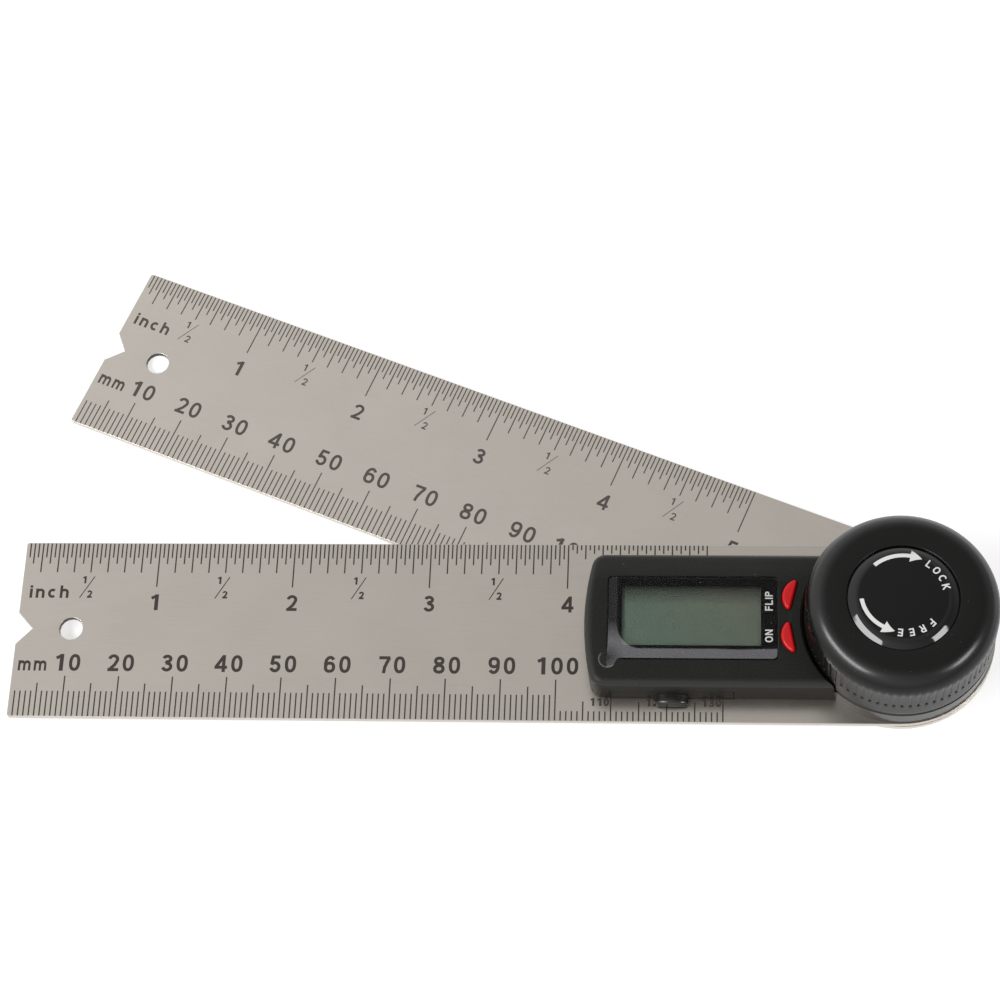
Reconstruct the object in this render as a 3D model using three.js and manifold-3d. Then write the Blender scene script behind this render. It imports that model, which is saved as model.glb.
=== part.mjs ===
// Digital angle finder: two steel rules on one pivot, a moulded housing with a
// display on the upper rule, and a ribbed lock knob over the pivot.
// Millimetres, +Z up. The pivot axis is the Z axis, both rules lie towards -X,
// and z = 0 is the underside of the lower, moving rule.

import * as THREE from 'three';
import { mergeVertices } from 'three/addons/utils/BufferGeometryUtils.js';
import Module from 'manifold-3d';

const wasm = await Module();
wasm.setup();

// Roundness of turned and cut curves
const facetLength = 1.8;
const fewestSectors = 16;
const fullTurn = 2 * Math.PI;

// Clearances shared by many pieces
const seatGap = 0.1;
const slideGap = 0.2;
const runningGap = 0.25;
const overrun = 2;

// Rules
const ruleWidth = 34.5;
const ruleThickness = 1.1;
const pivotFromTip = 161.3;
const notchDepth = 2.9;
const notchHalfWidth = 3.1;
const tipCornerRadius = 0.4;
const hangHoleRadius = 2.2;
const hangHoleFromTip = 10.15;
const openAngle = THREE.MathUtils.degToRad(21.7);

// Pivot
const slipWasherThickness = 0.3;
const slipWasherWidth = 5.5;
const hubShaftRadius = 4.5;
const hubRivetRadius = 6.2;
const hubCountersink = 0.8;
const hubFlatDepth = 0.8;
const hubFlatHeight = 3.1;
const bushWall = 1.4;
const threadRadius = 3;
const collarWall = 1.1;
const collarFlangeWidth = 1.8;
const collarFlangeThickness = 0.7;
const pressureWasherWidth = 2.9;
const pressureWasherThickness = 0.6;
const springWasherWidth = 2.6;
const springWasherRise = 0.4;
const springWasherThickness = 0.35;
const stopScrewHeadRadius = 4;
const stopScrewHeadHeight = 1.3;
const stopScrewShankRadius = 1.4;
const stopScrewShankLength = 5;
const stopScrewSlotWidth = 0.9;
const stopScrewSlotDepth = 0.6;
const nutTravel = 1.85;

// Angle sensor in the housing's round end
const discThickness = 0.6;
const statorWallGap = 0.6;
const rotorInset = 1.6;
const sensorGap = 0.3;
const sheetThickness = 0.2;

// Coin cell and the tray that holds it
const cellRadius = 10;
const cellThickness = 2.5;
const cellRimWidth = 0.9;
const cellRimHeight = 0.3;
const trayFloor = 0.4;
const trayLift = 0.15;
const trayFrontWall = 1.65;
const traySideWall = 0.8;
const trayRearReach = 7.4;
const trayRearChamfer = 2.6;
const trayWindowRadius = 7.5;
const mouthGap = 0.1;
const tabHalfWidth = 2.95;
const tabSideHeight = 0.75;
const tabReach = 1.75;
const tabHeight = 1.75;
const tabEdgeRadius = 0.65;
const contactThickness = 0.25;
const contactRoomBehind = 2.35;
const contactRoomAbove = 0.75;
const minusContactWidth = 2.6;
const minusContactY = 4.4;
const minusContactReach = 10.6;
const minusContactRise = 0.55;
const plusContactHeight = 1.4;
const plusContactReach = 3;

// Housing
const bowRadius = 50;
const housingCornerRadius = 2.4;
const topEdgeRadius = 1.5;
const wall = 1.3;
const roofThickness = 1.5;
const endMargin = 4.75;
const flangeWall = 1.2;
const flangeRoofThickness = 1;
const flangeRoofGap = 0.3;
const flangeEdge = 0.3;
const archEdge = 0.35;
const passageHalfWidth = 8;
const passageHeight = 2.2;
const bossRadius = 1.5;
const bossInset = 2.75;
const bossSetback = 1.6;
const rearBossSetback = 4.95;

// Window, film and display
const windowEndMargin = 4.25;
const windowFrontMargin = 4.9;
const windowRearMargin = 4.7;
const windowButtonGap = 0.2;
const windowCornerRadius = 0.8;
const windowThickness = 1;
const filmThickness = 0.15;
const filmMargin = 0.15;
const filmTabRadius = 1.7;
const filmTabOverhang = 0.05;
const displayThickness = 1.2;
const displayFrontSetback = 1.2;
const displayEndSetback = 0.45;
const displayButtonSetback = 0.9;
const displayBossGap = 0.35;
const displayRim = 1.1;
const displayEndRim = 1.5;

// Electronics
const boardThickness = 0.6;
const boardLength = 9.95;
const boardWallGap = 0.55;
const boardTrayGap = 0.8;
const boardScrewInset = 1.6;
const boardScrewSetback = 2.75;
const pillarRadius = 1.2;
const chipRadius = 2;
const chipHeight = 0.7;
const chipSetback = 2.4;
const chipY = -2;
const chipShoulderShares = [[0.8, 0.7], [0.4, 1]];
const connectorHeight = 1.1;
const connectorWidth = 1.2;
const connectorLength = 13.4;
const connectorSetback = 0.45;
const domeRadius = 1.7;
const domeHeight = 0.4;
const domeShoulderShares = [[0.86, 0.5], [0.5, 0.9]];
const ribbonThickness = 0.2;
const ribbonWidth = 7;
const ribbonOverlap = 1;

// Lock knob and label
const knobEdgeMargin = 0.25;
const knobHeight = 12.8;
const knobFloorGap = 0.4;
const knobSideGap = 0.35;
const knobShoulderRadius = 3.9;
const knobRimChamfer = 0.3;
const knobWall = 2.3;
const knobTopThickness = 2.4;
const knobBossWall = 1.7;
const knobInnerRibCount = 6;
const knobInnerRibThickness = 1.2;
const knobInnerRibRecess = 2.5;
const knobTurn = THREE.MathUtils.degToRad(1.85);
const grooveCount = 75;
const grooveDepth = 0.4;
const grooveHalfWidth = 0.38;
const grooveStart = 4.1;
const grooveRunOut = 1.6;
const labelRadius = 9.8;
const labelRecess = 0.8;
const labelRimThickness = 0.2;
const labelDome = 1.2;
const labelCrownShares = [
  [1, 0], [0.94, 0.38], [0.88, 0.69], [0.82, 0.85], [0.7, 0.93], [0.4, 0.98], [0, 1],
];
const nutFlats = 10;
const nutHeight = 5;
const nutChamfer = 0.5;

// Buttons, in the roof beside the knob
const buttonChord = 6.7;
const buttonBulge = 2.15;
const buttonSetback = 1.85;
const buttonTurn = THREE.MathUtils.degToRad(11.9);
const buttonPairTurn = THREE.MathUtils.degToRad(1.55);
const buttonProud = 0.55;
const buttonEdgeRadius = 0.5;
const buttonTipRadius = 0.55;
const buttonTravel = 0.5;
const buttonFlangeWidth = 0.35;
const buttonFlangeThickness = 0.8;
const buttonStemRadius = 0.8;

// Screws
const screwShankRadius = 0.55;
const screwHeadRadius = 1.35;
const screwHeadDepth = 0.7;
const screwLength = 5;
const screwSlotWidth = 0.4;
const screwSlotDepth = 0.3;
const boardScrewLength = 2.6;
const boardScrewHeadHeight = 0.5;

// Sizes of the housing that follow from what it holds
const trayHeight = trayFloor + cellThickness + seatGap;
const trayWidth = 2 * (cellRadius + slideGap + traySideWall);
const housingWidth = trayFrontWall + slideGap + 2 * cellRadius + contactRoomBehind + wall;
const trayStack = sheetThickness + trayLift + trayHeight + contactRoomAbove;
const housingHeight = trayStack + displayThickness + roofThickness;
const sensorStack = sheetThickness + 2 * discThickness + sensorGap + collarFlangeThickness;
const flangeHeight = sensorStack + flangeRoofGap + flangeRoofThickness;

// Heights that follow from the sizes above
const baseBottom = ruleThickness + slipWasherThickness;
const deck = baseBottom + ruleThickness;
const housingTop = deck + housingHeight;
const roofUnderside = housingTop - roofThickness;
const flangeTop = deck + flangeHeight;
const flangeRoofUnderside = flangeTop - flangeRoofThickness;
const collarBottom = deck + slipWasherThickness;
const statorTop = deck + sheetThickness + discThickness;
const rotorBottom = statorTop + sensorGap;
const rotorTop = rotorBottom + discThickness;
const collarTop = flangeTop + pressureWasherThickness;
const hubFlatTop = collarTop + pressureWasherThickness / 2;
const pressureTop = collarTop + pressureWasherThickness;
const nutBottom = pressureTop + springWasherRise + springWasherThickness;
const nutTop = nutBottom + nutHeight;
const hubTop = nutTop + nutTravel;
const knobBottom = flangeTop + knobFloorGap;
const knobTop = knobBottom + knobHeight;
const labelFloor = knobTop - labelRecess;
const displayBottom = roofUnderside - displayThickness;
const boardTop = displayBottom - connectorHeight;
const boardBottom = boardTop - boardThickness;
const trayBottom = deck + sheetThickness + trayLift;
const trayTop = trayBottom + trayHeight;
const cellBottom = trayBottom + trayFloor;
const cellTop = cellBottom + cellThickness;

// Radii and places that follow
const bushInnerRadius = hubShaftRadius + runningGap;
const bushOuterRadius = bushInnerRadius + bushWall;
const washerInnerRadius = hubShaftRadius + runningGap;
const collarInnerRadius = hubShaftRadius + seatGap;
const collarOuterRadius = collarInnerRadius + collarWall;
const collarFlangeRadius = collarOuterRadius + collarFlangeWidth;
const knobBoreRadius = stopScrewHeadRadius + 2 * runningGap;
const knobRadius = ruleWidth / 2 - knobEdgeMargin;
const flangeRadius = knobRadius;
const flangeInnerRadius = flangeRadius - flangeWall;
const statorInnerRadius = collarFlangeRadius + 2 * slideGap;
const statorOuterRadius = flangeInnerRadius - statorWallGap;
const rotorOuterRadius = statorOuterRadius - rotorInset;
const endRadius = knobRadius + knobSideGap;
const innerEndRadius = endRadius + wall;
const buttonArcRadius = endRadius + buttonSetback;

const boardLeft = innerEndRadius + boardLength;
const boardHalfWidth = housingWidth / 2 - wall - boardWallGap;
const boardScrewX = innerEndRadius + boardScrewSetback;
const boardScrewY = boardHalfWidth - boardScrewInset;
const trayX = -boardLeft - boardTrayGap - trayWidth / 2;
const trayFront = -housingWidth / 2;
const cellY = trayFront + trayFrontWall + slideGap + cellRadius;
const trayRear = cellY + trayRearReach;
const trayRailRear = minusContactY - minusContactWidth / 2 - 3 * slideGap;
const housingReach = trayWidth / 2 - trayX + endMargin;
const bossX = boardLeft - bossSetback;
const bossY = housingWidth / 2 - bossInset;
const rearBossX = housingReach - rearBossSetback;

const windowLeft = windowEndMargin - housingReach;
const windowRight = -buttonArcRadius - buttonBulge - windowButtonGap;
const windowFront = windowFrontMargin - housingWidth / 2;
const windowRear = housingWidth / 2 - windowRearMargin;
const displayLeft = windowLeft + displayEndSetback;
const displayRight = windowRight - displayButtonSetback;
const displayFront = windowFront + displayFrontSetback;
const displayRear = bossY - bossRadius - displayBossGap;
const connectorX = displayRight - connectorSetback - connectorWidth / 2;
const connectorY = (displayFront + displayRear) / 2;

// Solids: conversion between closed geometries and booleans

function toSolid(geometry) {
  const bare = geometry.clone();
  bare.deleteAttribute('normal');
  bare.deleteAttribute('uv');
  const merged = mergeVertices(bare, 1e-5);
  return new wasm.Manifold(new wasm.Mesh({
    numProp: 3,
    vertProperties: new Float32Array(merged.attributes.position.array),
    triVerts: new Uint32Array(merged.index.array),
  }));
}

function toGeometry(solid) {
  const mesh = solid.getMesh();
  const geometry = new THREE.BufferGeometry();
  geometry.setAttribute('position', new THREE.BufferAttribute(mesh.vertProperties, 3));
  geometry.setIndex(new THREE.BufferAttribute(mesh.triVerts, 1));
  geometry.computeVertexNormals();
  return geometry;
}

function join(first, ...others) {
  return others.reduce((whole, other) => whole.add(other), first);
}

function cut(first, ...others) {
  return others.reduce((rest, other) => rest.subtract(other), first);
}

// Outlines, all counter-clockwise seen from above

function sectorsFor(radius) {
  return Math.max(fewestSectors, 4 * Math.ceil((fullTurn * radius) / facetLength / 4));
}

function arcSteps(radius, angle) {
  return Math.max(2, Math.round((sectorsFor(radius) * Math.abs(angle)) / fullTurn));
}

function arcPoints(x, y, radius, from, to, steps = arcSteps(radius, to - from)) {
  const points = [];
  for (let i = 0; i <= steps; i += 1) {
    const angle = from + ((to - from) * i) / steps;
    points.push(new THREE.Vector2(x + radius * Math.cos(angle), y + radius * Math.sin(angle)));
  }
  return points;
}

function circlePoints(x, y, radius) {
  return arcPoints(x, y, radius, 0, fullTurn, sectorsFor(radius)).slice(0, -1);
}

function withoutRepeats(points) {
  return points.filter((point, i) => {
    const next = points[(i + 1) % points.length];
    return point.distanceTo(next) > facetLength / 1000;
  });
}

function roundedRectangle(left, right, front, rear, radius) {
  const quarter = Math.PI / 2;
  return [
    ...arcPoints(right - radius, front + radius, radius, -quarter, 0),
    ...arcPoints(right - radius, rear - radius, radius, 0, quarter),
    ...arcPoints(left + radius, rear - radius, radius, quarter, 2 * quarter),
    ...arcPoints(left + radius, front + radius, radius, 2 * quarter, 3 * quarter),
  ];
}

function windowOutline(gap) {
  return roundedRectangle(
    windowLeft - gap, windowRight + gap, windowFront - gap, windowRear + gap, windowCornerRadius,
  );
}

// Solids made from outlines

function plate(outline, bottom, top, holes = []) {
  const shape = new THREE.Shape(outline);
  shape.holes = holes.map((hole) => new THREE.Path(hole));
  const geometry = new THREE.ExtrudeGeometry(shape, { depth: top - bottom, bevelEnabled: false });
  geometry.translate(0, 0, bottom);
  return toSolid(geometry);
}

function rod(x, y, radius, bottom, top) {
  return plate(circlePoints(x, y, radius), bottom, top);
}

function block(left, right, front, rear, bottom, top) {
  const geometry = new THREE.BoxGeometry(right - left, rear - front, top - bottom);
  geometry.translate((left + right) / 2, (front + rear) / 2, (bottom + top) / 2);
  return toSolid(geometry);
}

// A turned piece: profile points are [radius, height], up the outside first
function turned(profile, sectors = sectorsFor(Math.max(...profile.map(([radius]) => radius)))) {
  const points = profile.map(([radius, height]) => new THREE.Vector2(radius, height));
  if (profile[0][0] > 0) {
    points.push(points[0].clone());
  }
  const geometry = new THREE.LatheGeometry(points, sectors);
  geometry.rotateX(Math.PI / 2);
  return toSolid(geometry);
}

function ring(innerRadius, outerRadius, bottom, top) {
  return turned([
    [innerRadius, bottom],
    [outerRadius, bottom],
    [outerRadius, top],
    [innerRadius, top],
  ]);
}

// A solid through a stack of outlines that have as many points each
function loft(layers) {
  const count = layers[0].outline.length;
  const positions = layers.flatMap(({ outline, z }) => outline.flatMap(({ x, y }) => [x, y, z]));
  const faces = [];
  for (let layer = 0; layer < layers.length - 1; layer += 1) {
    for (let i = 0; i < count; i += 1) {
      const here = layer * count + i;
      const next = layer * count + ((i + 1) % count);
      faces.push(here, next, next + count, here, next + count, here + count);
    }
  }
  const topStart = (layers.length - 1) * count;
  for (const [a, b, c] of THREE.ShapeUtils.triangulateShape(layers[0].outline, [])) {
    faces.push(a, c, b);
  }
  for (const [a, b, c] of THREE.ShapeUtils.triangulateShape(layers.at(-1).outline, [])) {
    faces.push(topStart + a, topStart + b, topStart + c);
  }
  const geometry = new THREE.BufferGeometry();
  geometry.setAttribute('position', new THREE.Float32BufferAttribute(positions, 3));
  geometry.setIndex(faces);
  return toSolid(geometry);
}

// An outline raised straight, with its top edge rounded
function roundTopped(outlineAt, bottom, top, edge, steps = 4) {
  const layers = [{ outline: outlineAt(0), z: bottom }];
  for (let i = 0; i <= steps; i += 1) {
    const angle = ((Math.PI / 2) * i) / steps;
    const inset = edge * (1 - Math.cos(angle));
    layers.push({ outline: outlineAt(inset), z: top - edge + edge * Math.sin(angle) });
  }
  return loft(layers);
}

// Rules

function ruleOutline() {
  const half = ruleWidth / 2;
  const tip = -pivotFromTip;
  const quarter = Math.PI / 2;
  const inward = tipCornerRadius;
  return [
    ...arcPoints(0, 0, half, -quarter, quarter),
    ...arcPoints(tip + inward, half - inward, inward, quarter, 2 * quarter),
    new THREE.Vector2(tip, notchHalfWidth),
    new THREE.Vector2(tip + notchDepth, 0),
    new THREE.Vector2(tip, -notchHalfWidth),
    ...arcPoints(tip + inward, inward - half, inward, 2 * quarter, 3 * quarter),
  ];
}

function hangHole() {
  return circlePoints(hangHoleFromTip - pivotFromTip, 0, hangHoleRadius);
}

const screwPlaces = [
  [-rearBossX, bossY],
  [-bossX, bossY],
  [-bossX, -bossY],
];

function countersinkProfile(gap) {
  const waist = baseBottom + screwHeadDepth;
  return [
    [0, baseBottom],
    [screwHeadRadius + gap, baseBottom],
    [screwShankRadius + gap, waist],
  ];
}

function baseRule() {
  const pivotHole = circlePoints(0, 0, bushOuterRadius + seatGap);
  const rule = plate(ruleOutline(), baseBottom, deck, [hangHole(), pivotHole]);
  const drill = turned([
    ...countersinkProfile(seatGap),
    [screwShankRadius + seatGap, deck + overrun],
    [0, deck + overrun],
  ]);
  return cut(rule, ...screwPlaces.map(([x, y]) => drill.translate([x, y, 0])));
}

function movingRule() {
  const rule = plate(ruleOutline(), 0, ruleThickness, [hangHole()]);
  const mouthRadius = hubRivetRadius + hubCountersink + seatGap;
  const rivet = turned([
    [0, -overrun],
    [mouthRadius, -overrun],
    [mouthRadius, 0],
    [hubRivetRadius + seatGap, hubCountersink],
    [hubRivetRadius + seatGap, ruleThickness + overrun],
    [0, ruleThickness + overrun],
  ]);
  return cut(rule, rivet);
}

// A driver's slot right across a screw head
function screwSlot(headRadius, width, bottom, top) {
  const reach = headRadius + overrun;
  return block(-reach, reach, -width / 2, width / 2, bottom, top);
}

// Pivot stack

function twoFlats(radius, bottom, top, gap) {
  const across = hubShaftRadius - hubFlatDepth + gap;
  const bar = block(-across, across, -radius - overrun, radius + overrun, bottom, top);
  return rod(0, 0, radius, bottom, top).intersect(bar);
}

function pivotHub() {
  const foot = turned([
    [0, 0],
    [hubRivetRadius + hubCountersink, 0],
    [hubRivetRadius, hubCountersink],
    [hubRivetRadius, ruleThickness],
    [0, ruleThickness],
  ]);
  const flatBottom = hubFlatTop - hubFlatHeight;
  const shaft = rod(0, 0, hubShaftRadius, ruleThickness, flatBottom);
  const keyed = twoFlats(hubShaftRadius, flatBottom, hubFlatTop, 0);
  const stud = rod(0, 0, threadRadius, hubFlatTop, hubTop);
  const tappingBottom = hubTop - stopScrewShankLength - seatGap;
  const tapping = rod(0, 0, stopScrewShankRadius + seatGap, tappingBottom, hubTop + overrun);
  return cut(join(foot, shaft, keyed, stud), tapping);
}

function slipWasher(bottom) {
  const outerRadius = washerInnerRadius + slipWasherWidth;
  return ring(washerInnerRadius, outerRadius, bottom, bottom + slipWasherThickness);
}

function upperWasher() {
  return ring(washerInnerRadius, statorInnerRadius - slideGap, deck, collarBottom);
}

function pivotBush() {
  return ring(bushInnerRadius, bushOuterRadius, baseBottom, deck);
}

function rotorCollar() {
  const body = turned([
    [0, collarBottom],
    [collarOuterRadius, collarBottom],
    [collarOuterRadius, rotorTop],
    [collarFlangeRadius, rotorTop],
    [collarFlangeRadius, rotorTop + collarFlangeThickness],
    [collarOuterRadius, rotorTop + collarFlangeThickness],
    [collarOuterRadius, collarTop],
    [0, collarTop],
  ]);
  const flatBottom = hubFlatTop - hubFlatHeight;
  const roundBore = rod(0, 0, collarInnerRadius, collarBottom - overrun, flatBottom + seatGap);
  const keyedBore = twoFlats(collarInnerRadius, flatBottom, collarTop + overrun, seatGap);
  return cut(body, roundBore, keyedBore);
}

function pressureWasher() {
  const outline = circlePoints(0, 0, collarInnerRadius + pressureWasherWidth);
  const washer = plate(outline, collarTop, pressureTop);
  const bore = twoFlats(collarInnerRadius, collarTop - overrun, hubFlatTop + seatGap, seatGap);
  const studBore = rod(0, 0, threadRadius + seatGap, collarTop, pressureTop + overrun);
  return cut(washer, bore, studBore);
}

function springWasher() {
  const inner = threadRadius + slideGap;
  const outer = inner + springWasherWidth;
  return turned([
    [inner, pressureTop + springWasherRise],
    [outer, pressureTop],
    [outer, pressureTop + springWasherThickness],
    [inner, pressureTop + springWasherRise + springWasherThickness],
  ]);
}

function stopScrew() {
  const headTop = hubTop + stopScrewHeadHeight;
  const screw = turned([
    [0, hubTop - stopScrewShankLength],
    [stopScrewShankRadius, hubTop - stopScrewShankLength],
    [stopScrewShankRadius, hubTop],
    [stopScrewHeadRadius, hubTop],
    [stopScrewHeadRadius, headTop],
    [0, headTop],
  ]);
  const slotBottom = headTop - stopScrewSlotDepth;
  return cut(screw, screwSlot(stopScrewHeadRadius, stopScrewSlotWidth, slotBottom, headTop + overrun));
}

// Angle sensor

function encoderStator() {
  return ring(statorInnerRadius, statorOuterRadius, deck + sheetThickness, statorTop);
}

function encoderRotor() {
  return ring(collarOuterRadius + seatGap, rotorOuterRadius, rotorBottom, rotorTop);
}

// Housing

// The block from its bowed left end to the pivot, drawn in by an inset
function blockOutline(inset) {
  const half = housingWidth / 2 - inset;
  const bow = bowRadius - inset;
  const bowX = bowRadius - housingReach;
  const corner = Math.max(housingCornerRadius - inset, housingCornerRadius / 4);
  const cornerY = half - corner;
  const cornerX = bowX - Math.sqrt((bow - corner) ** 2 - cornerY ** 2);
  const tilt = Math.atan2(cornerY, bowX - cornerX);
  const quarter = Math.PI / 2;
  const bowSteps = arcSteps(bowRadius, housingWidth / bowRadius);
  return withoutRepeats([
    new THREE.Vector2(0, -half),
    new THREE.Vector2(0, half),
    ...arcPoints(cornerX, cornerY, corner, quarter, Math.PI - tilt, 4),
    ...arcPoints(bowX, 0, bow, Math.PI - tilt, Math.PI + tilt, bowSteps),
    ...arcPoints(cornerX, -cornerY, corner, Math.PI + tilt, 3 * quarter, 4),
  ]);
}

function buttonPlaces() {
  return [buttonPairTurn + buttonTurn, buttonPairTurn - buttonTurn].map((turn) => ({
    x: -buttonArcRadius * Math.cos(turn),
    y: buttonArcRadius * Math.sin(turn),
    turn,
  }));
}

// A half-moon with its straight side towards the pivot, grown or shrunk by an inset
function moonOutline(place, inset) {
  const bulgeRadius = (buttonChord ** 2 / 4 + buttonBulge ** 2) / (2 * buttonBulge);
  const tip = Math.max(buttonTipRadius - inset, buttonTipRadius / 4);
  const outer = bulgeRadius - inset;
  const chordX = -inset;
  const centreX = bulgeRadius - buttonBulge;
  const tipX = chordX - tip;
  const tipY = Math.sqrt((outer - tip) ** 2 - (tipX - centreX) ** 2);
  const lean = Math.atan2(tipY, centreX - tipX);
  const points = [
    ...arcPoints(tipX, -tipY, tip, Math.PI + lean, fullTurn, 5),
    ...arcPoints(tipX, tipY, tip, 0, Math.PI - lean, 5),
    ...arcPoints(centreX, 0, outer, Math.PI - lean, Math.PI + lean, 10),
  ];
  const centre = new THREE.Vector2();
  return withoutRepeats(points).map((point) => {
    const turnedPoint = point.clone().rotateAround(centre, -place.turn);
    return new THREE.Vector2(turnedPoint.x + place.x, turnedPoint.y + place.y);
  });
}

function trayOutline(gap) {
  const half = trayWidth / 2 + gap;
  const rear = trayRear + gap;
  const chamfer = trayRearChamfer;
  return [
    new THREE.Vector2(trayX - half, trayFront),
    new THREE.Vector2(trayX + half, trayFront),
    new THREE.Vector2(trayX + half, rear - chamfer),
    new THREE.Vector2(trayX + half - chamfer, rear),
    new THREE.Vector2(trayX - half + chamfer, rear),
    new THREE.Vector2(trayX - half, rear - chamfer),
  ];
}

function housingShell() {
  const tall = roundTopped((inset) => blockOutline(inset), deck, housingTop, topEdgeRadius);
  const flange = turned([
    [0, deck],
    [flangeRadius, deck],
    [flangeRadius, flangeTop - flangeEdge],
    [flangeRadius - flangeEdge, flangeTop],
    [0, flangeTop],
  ]);
  const knobRoom = turned([
    [0, flangeTop],
    [endRadius, flangeTop],
    [endRadius, housingTop - archEdge],
    [endRadius + archEdge, housingTop],
    [endRadius + archEdge, housingTop + overrun],
    [0, housingTop + overrun],
  ]);
  const body = join(cut(tall, knobRoom), flange);

  const below = deck - overrun;
  const above = housingTop + overrun;
  const inside = cut(
    plate(blockOutline(wall), below, roofUnderside),
    rod(0, 0, innerEndRadius, below - overrun, above),
  );
  const roundInside = rod(0, 0, flangeInnerRadius, below, flangeRoofUnderside);
  const passage = block(
    -innerEndRadius - overrun, overrun - statorOuterRadius,
    -passageHalfWidth, passageHalfWidth, below, deck + passageHeight,
  );
  const collarHole = rod(0, 0, collarOuterRadius + runningGap, deck, flangeTop + overrun);
  const windowSeat = plate(windowOutline(seatGap), housingTop - windowThickness, above);
  const viewHole = plate(
    roundedRectangle(
      displayLeft + displayEndRim, displayRight - displayEndRim,
      displayFront + displayRim, displayRear - displayRim, windowCornerRadius,
    ),
    roofUnderside - overrun, above,
  );
  const buttonHoles = buttonPlaces().map((place) => plate(
    moonOutline(place, -seatGap), roofUnderside - overrun, above,
  ));
  const trayMouth = block(
    trayX - trayWidth / 2 - mouthGap, trayX + trayWidth / 2 + mouthGap,
    trayFront - overrun, trayFront + wall + overrun, below, trayTop + mouthGap,
  );
  const shell = cut(
    body, inside, roundInside, passage, collarHole, windowSeat, viewHole, ...buttonHoles, trayMouth,
  );

  const pillarPlaces = [[-boardScrewX, boardScrewY], [-boardScrewX, -boardScrewY]];
  const bosses = screwPlaces.map(([x, y]) => rod(x, y, bossRadius, deck, roofUnderside));
  const pillars = pillarPlaces.map(([x, y]) => rod(x, y, pillarRadius, boardTop, roofUnderside));
  const railReach = trayWidth / 2 - trayRearChamfer / 2;
  const trayRails = [
    [-housingReach, trayX - railReach],
    [trayX + railReach, slideGap - boardLeft],
  ].map(([left, right]) => block(
    left, right, trayFront + wall / 2, trayRailRear, trayTop + slideGap, displayBottom,
  ));
  const drillRadius = screwShankRadius + seatGap;
  const bossDrillTop = baseBottom + screwLength + seatGap;
  const pillarDrillTop = boardBottom + boardScrewLength + seatGap;
  const drills = [
    ...screwPlaces.map(([x, y]) => rod(x, y, drillRadius, below, bossDrillTop)),
    ...pillarPlaces.map(([x, y]) => rod(x, y, drillRadius, boardTop - overrun, pillarDrillTop)),
  ];
  const outerLimit = plate(blockOutline(wall / 2), deck, roofUnderside + wall / 2);
  const fittings = join(...bosses, ...pillars, ...trayRails).intersect(outerLimit);
  return cut(join(shell, fittings), ...drills);
}

// Window, film and display

function windowLens() {
  return plate(windowOutline(0), housingTop - windowThickness, housingTop);
}

function screenFilm() {
  const top = housingTop + filmThickness;
  const sheet = plate(windowOutline(-filmMargin), housingTop, top);
  const tabX = windowLeft + filmTabOverhang;
  const tabY = windowFront + filmTabOverhang;
  return join(sheet, rod(tabX, tabY, filmTabRadius, housingTop, top));
}

function lcdPanel() {
  return block(displayLeft, displayRight, displayFront, displayRear, displayBottom, roofUnderside);
}

// Buttons

function pressButton(place) {
  const top = housingTop + buttonProud;
  const cap = roundTopped((inset) => moonOutline(place, inset), roofUnderside, top, buttonEdgeRadius);
  const flangeTopHeight = roofUnderside - seatGap;
  const flangeBottom = flangeTopHeight - buttonFlangeThickness;
  const neck = plate(moonOutline(place, 0), flangeBottom, roofUnderside + buttonEdgeRadius);
  const flange = plate(moonOutline(place, -buttonFlangeWidth), flangeBottom, flangeTopHeight);
  const { x, y } = domePlace(place);
  const stemBottom = boardTop + domeHeight + buttonTravel + seatGap;
  return join(cap, neck, flange, rod(x, y, buttonStemRadius, stemBottom, flangeTopHeight));
}

// The switch sits under the half-moon, just inside the board's round edge
function domePlace(place) {
  const radius = innerEndRadius + 2 * seatGap + domeRadius;
  return { x: -radius * Math.cos(place.turn), y: radius * Math.sin(place.turn) };
}

function switchDome(place) {
  const { x, y } = domePlace(place);
  const dome = turned([
    [0, boardTop],
    [domeRadius, boardTop],
    ...domeShoulderShares.map(([out, up]) => [out * domeRadius, boardTop + up * domeHeight]),
    [0, boardTop + domeHeight],
  ]);
  return dome.translate([x, y, 0]);
}

// Battery tray, cell and contacts

// The finger tab seen from the front: flat below, arched above
function tabOutline(inset) {
  const half = tabHalfWidth - inset;
  const rise = tabHeight - tabSideHeight;
  const archRadius = (tabHalfWidth ** 2 + rise ** 2) / (2 * rise);
  const radius = archRadius - inset;
  const start = Math.acos(half / radius);
  return [
    new THREE.Vector2(-half, 0),
    new THREE.Vector2(half, 0),
    ...arcPoints(0, tabHeight - archRadius, radius, start, Math.PI - start, 10),
  ];
}

function batteryTray() {
  const body = plate(trayOutline(0), trayBottom, trayTop);
  const pocket = rod(trayX, cellY, cellRadius + slideGap, cellBottom, trayTop + overrun);
  const floorWindow = rod(trayX, cellY, trayWindowRadius, trayBottom - overrun, trayTop);
  const rearGap = block(
    trayX - trayWindowRadius, trayX + trayWindowRadius,
    cellY, trayRear + overrun, trayBottom - overrun, trayTop + overrun,
  );
  const frame = cut(body, pocket, floorWindow, rearGap);
  const tab = roundTopped(tabOutline, 0, tabReach + wall / 2, tabEdgeRadius)
    .rotate([90, 0, 0]).translate([trayX, trayFront + wall / 2, trayBottom]);
  return join(frame, tab);
}

function coinCell() {
  const cell = turned([
    [0, cellBottom],
    [cellRadius, cellBottom],
    [cellRadius, cellTop - cellRimHeight],
    [cellRadius - cellRimWidth, cellTop - cellRimHeight],
    [cellRadius - cellRimWidth, cellTop],
    [0, cellTop],
  ]);
  return cell.translate([trayX, cellY, 0]);
}

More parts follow.
